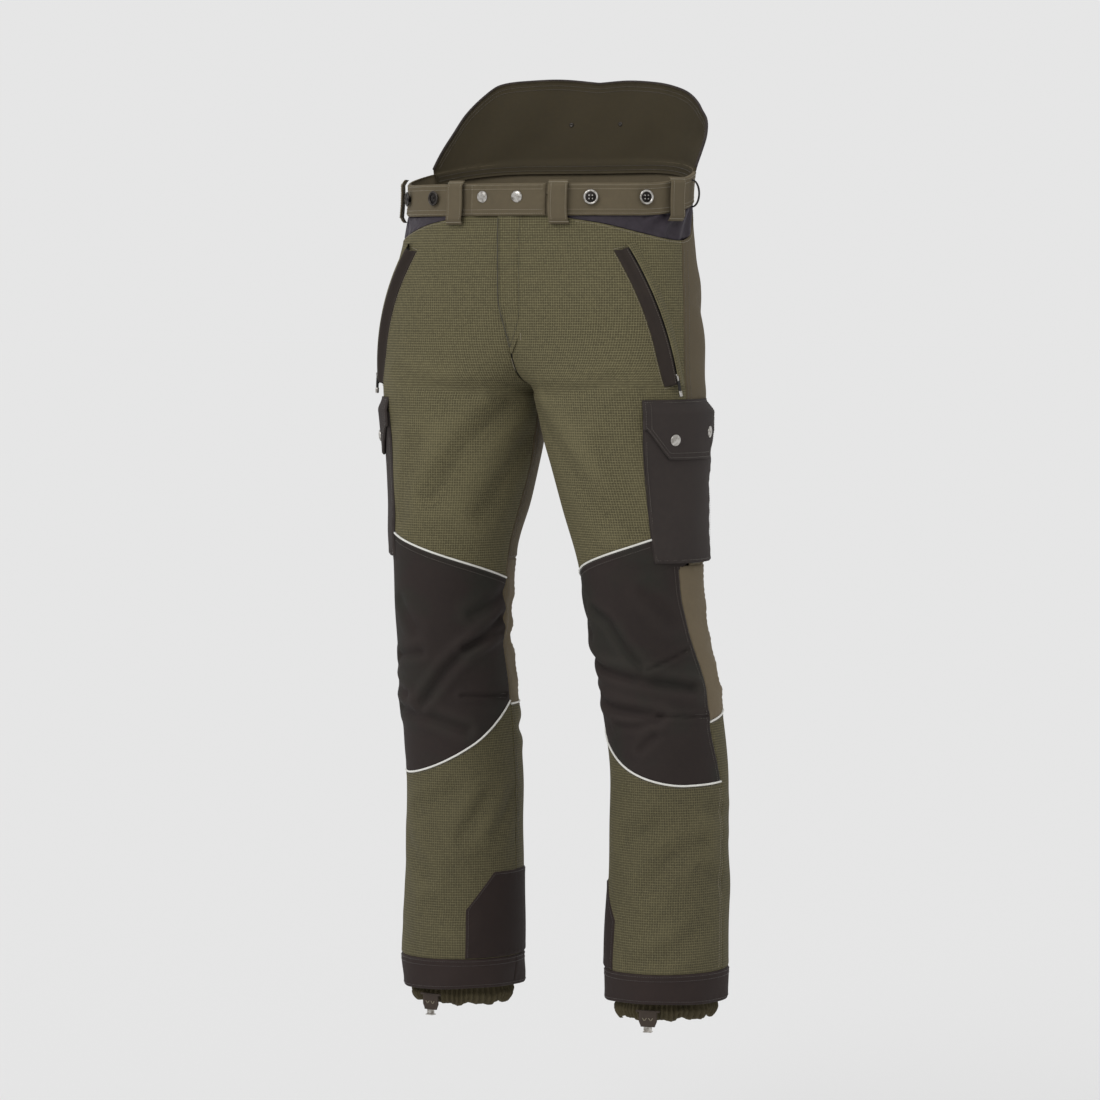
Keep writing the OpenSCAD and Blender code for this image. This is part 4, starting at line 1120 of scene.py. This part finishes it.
class Arc:
    """The circle through three points of the cloth that the pocket's zip follows."""

    def __init__(self):
        p, n = leg(POCKET_A, POCKET_Z)
        p = p + 4.2 * n
        mid, unit = (p[0] + p[2]) / 2, lambda v: v / np.linalg.norm(v)
        self.down = unit(p[2] - p[0])
        rise = p[1] - mid
        sag = rise - rise.dot(self.down) * self.down
        self.out = unit(sag)
        half, h = np.linalg.norm(p[2] - p[0]) / 2, np.linalg.norm(sag)
        self.r = (half * half + h * h) / (2 * h)
        self.centre = mid - self.out * (self.r - h)
        self.axis = np.cross(self.out, self.down)
        self.half_angle = math.degrees(math.asin(half / self.r))
        self.lean = math.atan2(n[1].dot(self.axis), n[1].dot(self.out))

    def at(self, turn, across, up, side):
        """turn in degrees from the middle, across the strip to the rear, up off the cloth."""
        t = np.radians(turn)[..., None]
        radial = self.out * np.cos(t) + self.down * np.sin(t)
        normal = radial * math.cos(self.lean) + self.axis * math.sin(self.lean)
        over = -radial * math.sin(self.lean) + self.axis * math.cos(self.lean)
        p = self.centre + radial * self.r + over * np.asarray(across)[..., None] + normal * np.asarray(up)[..., None]
        return flip(side, p), flip(side, normal), flip(side, over)


ARC = Arc()


def strip_grid(turn, x0, x1, count):
    """Angles along the zip and mm across it for a strip from x0 to x1."""
    along = np.linspace(-turn, turn, int(ARC.r * math.radians(2 * turn) / STRIP_STEP))
    t, x = np.meshgrid(along, np.linspace(x0, x1, count))
    return t.T[::-1], x.T


def strip_object(name, outer, inner, material, t, x, near, normal):
    mid, rear = x.shape[1] // 2, x.shape[1] // 3 * 2
    across, up = outer[5, rear] - outer[5, mid - 1], outer[9, mid] - outer[3, mid]
    uv = np.stack([x, -t * ARC.r * PER_DEGREE], -1).reshape(-1, 2) * MM
    crossed = np.dot(np.cross(across, up), normal[5, mid]) < 0
    return sheet_object(name, outer, inner, material, uv, {"edge": near, "ridge": near * 0}, crossed)


def onto_leg(side, x, t):
    """The leg's own surface beside the zip, x mm to its rear."""
    p, _, _ = ARC.at(t, 0 * x, 0 * x, "left")
    a = curve(np.stack([POCKET_Z, POCKET_A], -1), p[..., 2])[..., 1]
    wide = np.linalg.norm(leg(a + 1, p[..., 2])[0] - leg(a, p[..., 2])[0], axis=-1)
    return leg_face(side, 0.0)(a + x / wide, p[..., 2] + 0.22 * x, 0.0)[0]


def zip_tape(side, name, x0, x1, up, thick):
    t, x = strip_grid(ARC.half_angle, x0, x1, 9)
    near = np.minimum(x - x0, x1 - x)
    d = up - 0.6 * (1 - clamp(near / STRIP_STEP)) ** 2
    outer, n, _ = ARC.at(t, x, d, side)
    inner, _, _ = ARC.at(t, x, d - thick, side)
    return strip_object(name, outer, inner, ZIP, t, x, near, n)


def pocket_edge(side, name, x0, x1, up, thick, material, fade, sink=0.0, turn=ARC.half_angle):
    """A strip that stands up beside the zip and fades into the leg's surface between two places."""
    t, x = strip_grid(turn, x0, x1, 19)
    near = np.minimum(x - x0, x1 - x) if sink < 0.1 else x - x0
    ends = ARC.r * np.radians(turn - abs(t))
    d = up - 0.7 * (1 - clamp(np.minimum(near, ends) / STRIP_STEP)) ** 2
    faded = smooth((x - fade[0]) / (fade[1] - fade[0]))[..., None]
    proud, n, _ = ARC.at(t, x, d, side)
    outer = lerp(proud, onto_leg(side, x, t) + n * (1.0 - sink), faded)
    return strip_object(name, outer, outer - n * thick, material, t, x, near, n)


def build_pocket(side):
    half = ARC.half_angle
    welt = pocket_edge(side, f"{side}_welt_cloth", -17, -1.25, 4.3, 1.5, WELT, (-6, -15))
    wear(welt, "waist", "charcoal_cloth", "pocket_welts")
    lip = pocket_edge(side, f"{side}_pocket_lip", 1.25, 26, 3.8, 1.2, OLIVE, (2, 20), 2.6, half + 0.6)
    wear(lip, "waist", "olive_ripstop")
    for x0, x1, k in ((-6, -0.9, "front"), (0.9, 5.5, "rear")):
        wear(zip_tape(side, f"{side}_zip_{k}_tape", x0, x1, 0.3, 0.6), "waist", "black_trim", "pocket_zips")
    teeth = []
    for m in (-1, 1):
        for t in np.arange(-half + 0.3, half, math.degrees(TOOTH / ARC.r)):
            p, n, over = ARC.at(np.array(t + (0.1 if m > 0 else 0)), np.array(m * 1.6), np.array(0.1), side)
            teeth.append(block(p, over, np.cross(n, over), n, (1.9, 1.2, 1.7)))
    verts, faces, uv = join(teeth)
    wear(mesh_object(f"{side}_zip_teeth", verts, faces, TEETH, uv, flat=True), "waist", "black_trim", "pocket_zips")
    turn = np.linspace(-half + 0.4, half - 0.4, 60)
    p, n, _ = ARC.at(turn, -3.6 + 0 * turn, 4.5 + 0 * turn, side)
    sew_on("waist", p, n, DARK_THREAD)
    sew_on("waist", onto_leg(side, -18.6 + 0 * turn, turn) + n * 0.5, n, LIGHT_THREAD)
    for end in (-half - 0.35, half + 0.35):
        x = np.linspace(-18, -3, 12)
        _, n, _ = ARC.at(end + 0 * x, x, 0 * x, side)
        sew_on("waist", onto_leg(side, x, end + 0 * x) + n * 0.6, n, LIGHT_THREAD, 2.2)


# ---------------------------------------------------------------- pulls and boot tabs
def build_pull(side):
    """The braided cord on a pocket's slider, drawn along the CAD pull."""
    name = f"{side}_pocket_pull"
    pts = np.array([v.co[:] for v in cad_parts[name].data.vertices]) / MM
    lo = pts[pts[:, 2] < pts[:, 2].min() + 1.5].mean(0)
    hi = pts[pts[:, 2] > pts[:, 2].max() - 1.5].mean(0)
    axis = (lo - hi) / np.linalg.norm(lo - hi)
    start, end = hi + axis * 1.5, lo - axis * 6.0
    t = np.linspace(0, 1, 30)
    braid = 1.75 + 0.22 * np.sin(t * 60)
    verts, faces, uv = tube(start + (end - start) * t[:, None], braid, 12)
    wear(mesh_object(f"{side}_pull_cord", verts, faces, CORD, uv), name, "black_trim", name)
    along = np.array([[-1.5], [-1.2], [0], [5.2], [5.9]])
    verts, faces, uv = tube(end + axis * along, [1.7, 2.2, 2.35, 2.35, 1.6], 16)
    wear(mesh_object(f"{side}_pull_end", verts, faces, SILVER, uv), name, "snap_metal")


def build_boot_tab(side):
    """The cloth tab that carries the lace hook, laid over the CAD tab."""
    name = f"{side}_boot_tab"
    p0, n0 = leg(8.0, -1061.0)
    p0, n0 = flip(side, p0 + n0 * -11.0), flip(side, n0)
    across, up = np.array([-n0[1], n0[0], 0]), np.array([0, 0, 1.0])
    x, y = np.meshgrid(np.linspace(-12, 12, 13), np.linspace(-20, 1.2, 16))
    wide = 1 - 0.22 * smooth((-12 - y) / 8)
    lift = 1.3 - 0.35 * (abs(x) / 12) ** 4 + 0.12 * np.sin(y / 2.0)
    lay = lambda h: p0 + (x * wide)[..., None] * across + y[..., None] * up + h[..., None] * n0
    uv = np.stack([x, y], -1).reshape(-1, 2) * MM
    marks = {"edge": 12 - abs(x), "ridge": x * 0}
    tab = sheet_object(f"{side}_tab_cloth", lay(lift), lay(lift - 2.4), HEM_TAB, uv, marks)
    wear(tab, name, "charcoal_cloth", name)
    verts, faces, uv = tube(p0 + across * np.linspace(-16, 16, 14)[:, None], 1.5, 12)
    wear(mesh_object(f"{side}_tab_fold", verts, faces, HEM_TAB, uv), name, "charcoal_cloth", name)
    for middle in (-4.2, 4.2):  # two small v marks
        for m in (-1, 1):
            t = np.linspace(0, 1, 8)[:, None]
            p = p0 + across * (middle + m * lerp(2.8, 0.3, t)) + up * lerp(-8.5, -12.0, t) + n0 * 1.5
            sew_on(name, p, np.tile(n0, (8, 1)), LIGHT_THREAD, 1.4, (1.8, 0.9))


for leg_side in ("left", "right"):
    for build in (build_leg, build_cargo, build_pocket, build_pull, build_boot_tab):
        build(leg_side)
for build in (build_band, build_yoke, build_mesh_inserts, build_belt_loops, build_brace_buttons, build_seam_tape,
              build_elastic_loops, build_fly, stitch_objects):
    build()

# ---------------------------------------------------------------- hardware that stays from the CAD
for name in ("waist_snap_caps", "waist_snap_studs", "fly_slider", "fly_pull", "left_pocket_slider",
             "right_pocket_slider", "left_boot_hook", "right_boot_hook"):
    for mat_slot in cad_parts[name].material_slots:
        mat_slot.material = SILVER

# ---------------------------------------------------------------- studio
BACKDROP = 0.79  # the pale grey of floor and surroundings alike
SUN, SUN_HEIGHT = 1.25, 38
FLOOR_Z, FLOOR_REACH = -1500, 90000.0
floor_mat = Graph("studio_floor")
tone = BACKDROP / (BACKDROP + SUN * math.sin(math.radians(SUN_HEIGHT)) / math.pi)
floor_mat.shader.inputs["Base Color"].default_value = (tone, tone, tone, 1)
floor_mat.shader.inputs["Roughness"].default_value = 1.0
floor_mat.shader.inputs["Specular IOR Level"].default_value = 0.0
corners = [[x * FLOOR_REACH, y * FLOOR_REACH, FLOOR_Z] for x, y in ((-1, -1), (1, -1), (1, 1), (-1, 1))]
mesh_object("studio_floor", corners, [[0, 1, 2, 3]], floor_mat.material, flat=True)

world = bpy.data.worlds.new("studio")
bpy.context.scene.world = world
world.use_nodes = True
sky = world.node_tree.nodes["Background"].inputs
sky["Color"].default_value = (BACKDROP, BACKDROP, BACKDROP, 1)
sky["Strength"].default_value = 1.0


def soft_light(name, turn, height, strength, spread):
    """Light from far away, from turn degrees round and height degrees above the horizon."""
    data = bpy.data.lights.new(name, "SUN")
    data.energy, data.angle = strength, math.radians(spread)
    obj = bpy.data.objects.new(name, data)
    bpy.context.collection.objects.link(obj)
    t, h = math.radians(turn), math.radians(height)
    way = Vector((math.sin(t) * math.cos(h), -math.cos(t) * math.cos(h), math.sin(h)))
    obj.rotation_euler = way.to_track_quat("Z", "Y").to_euler()


soft_light("key", -5, SUN_HEIGHT, SUN, 40)
bpy.context.scene.view_settings.view_transform = "Standard"
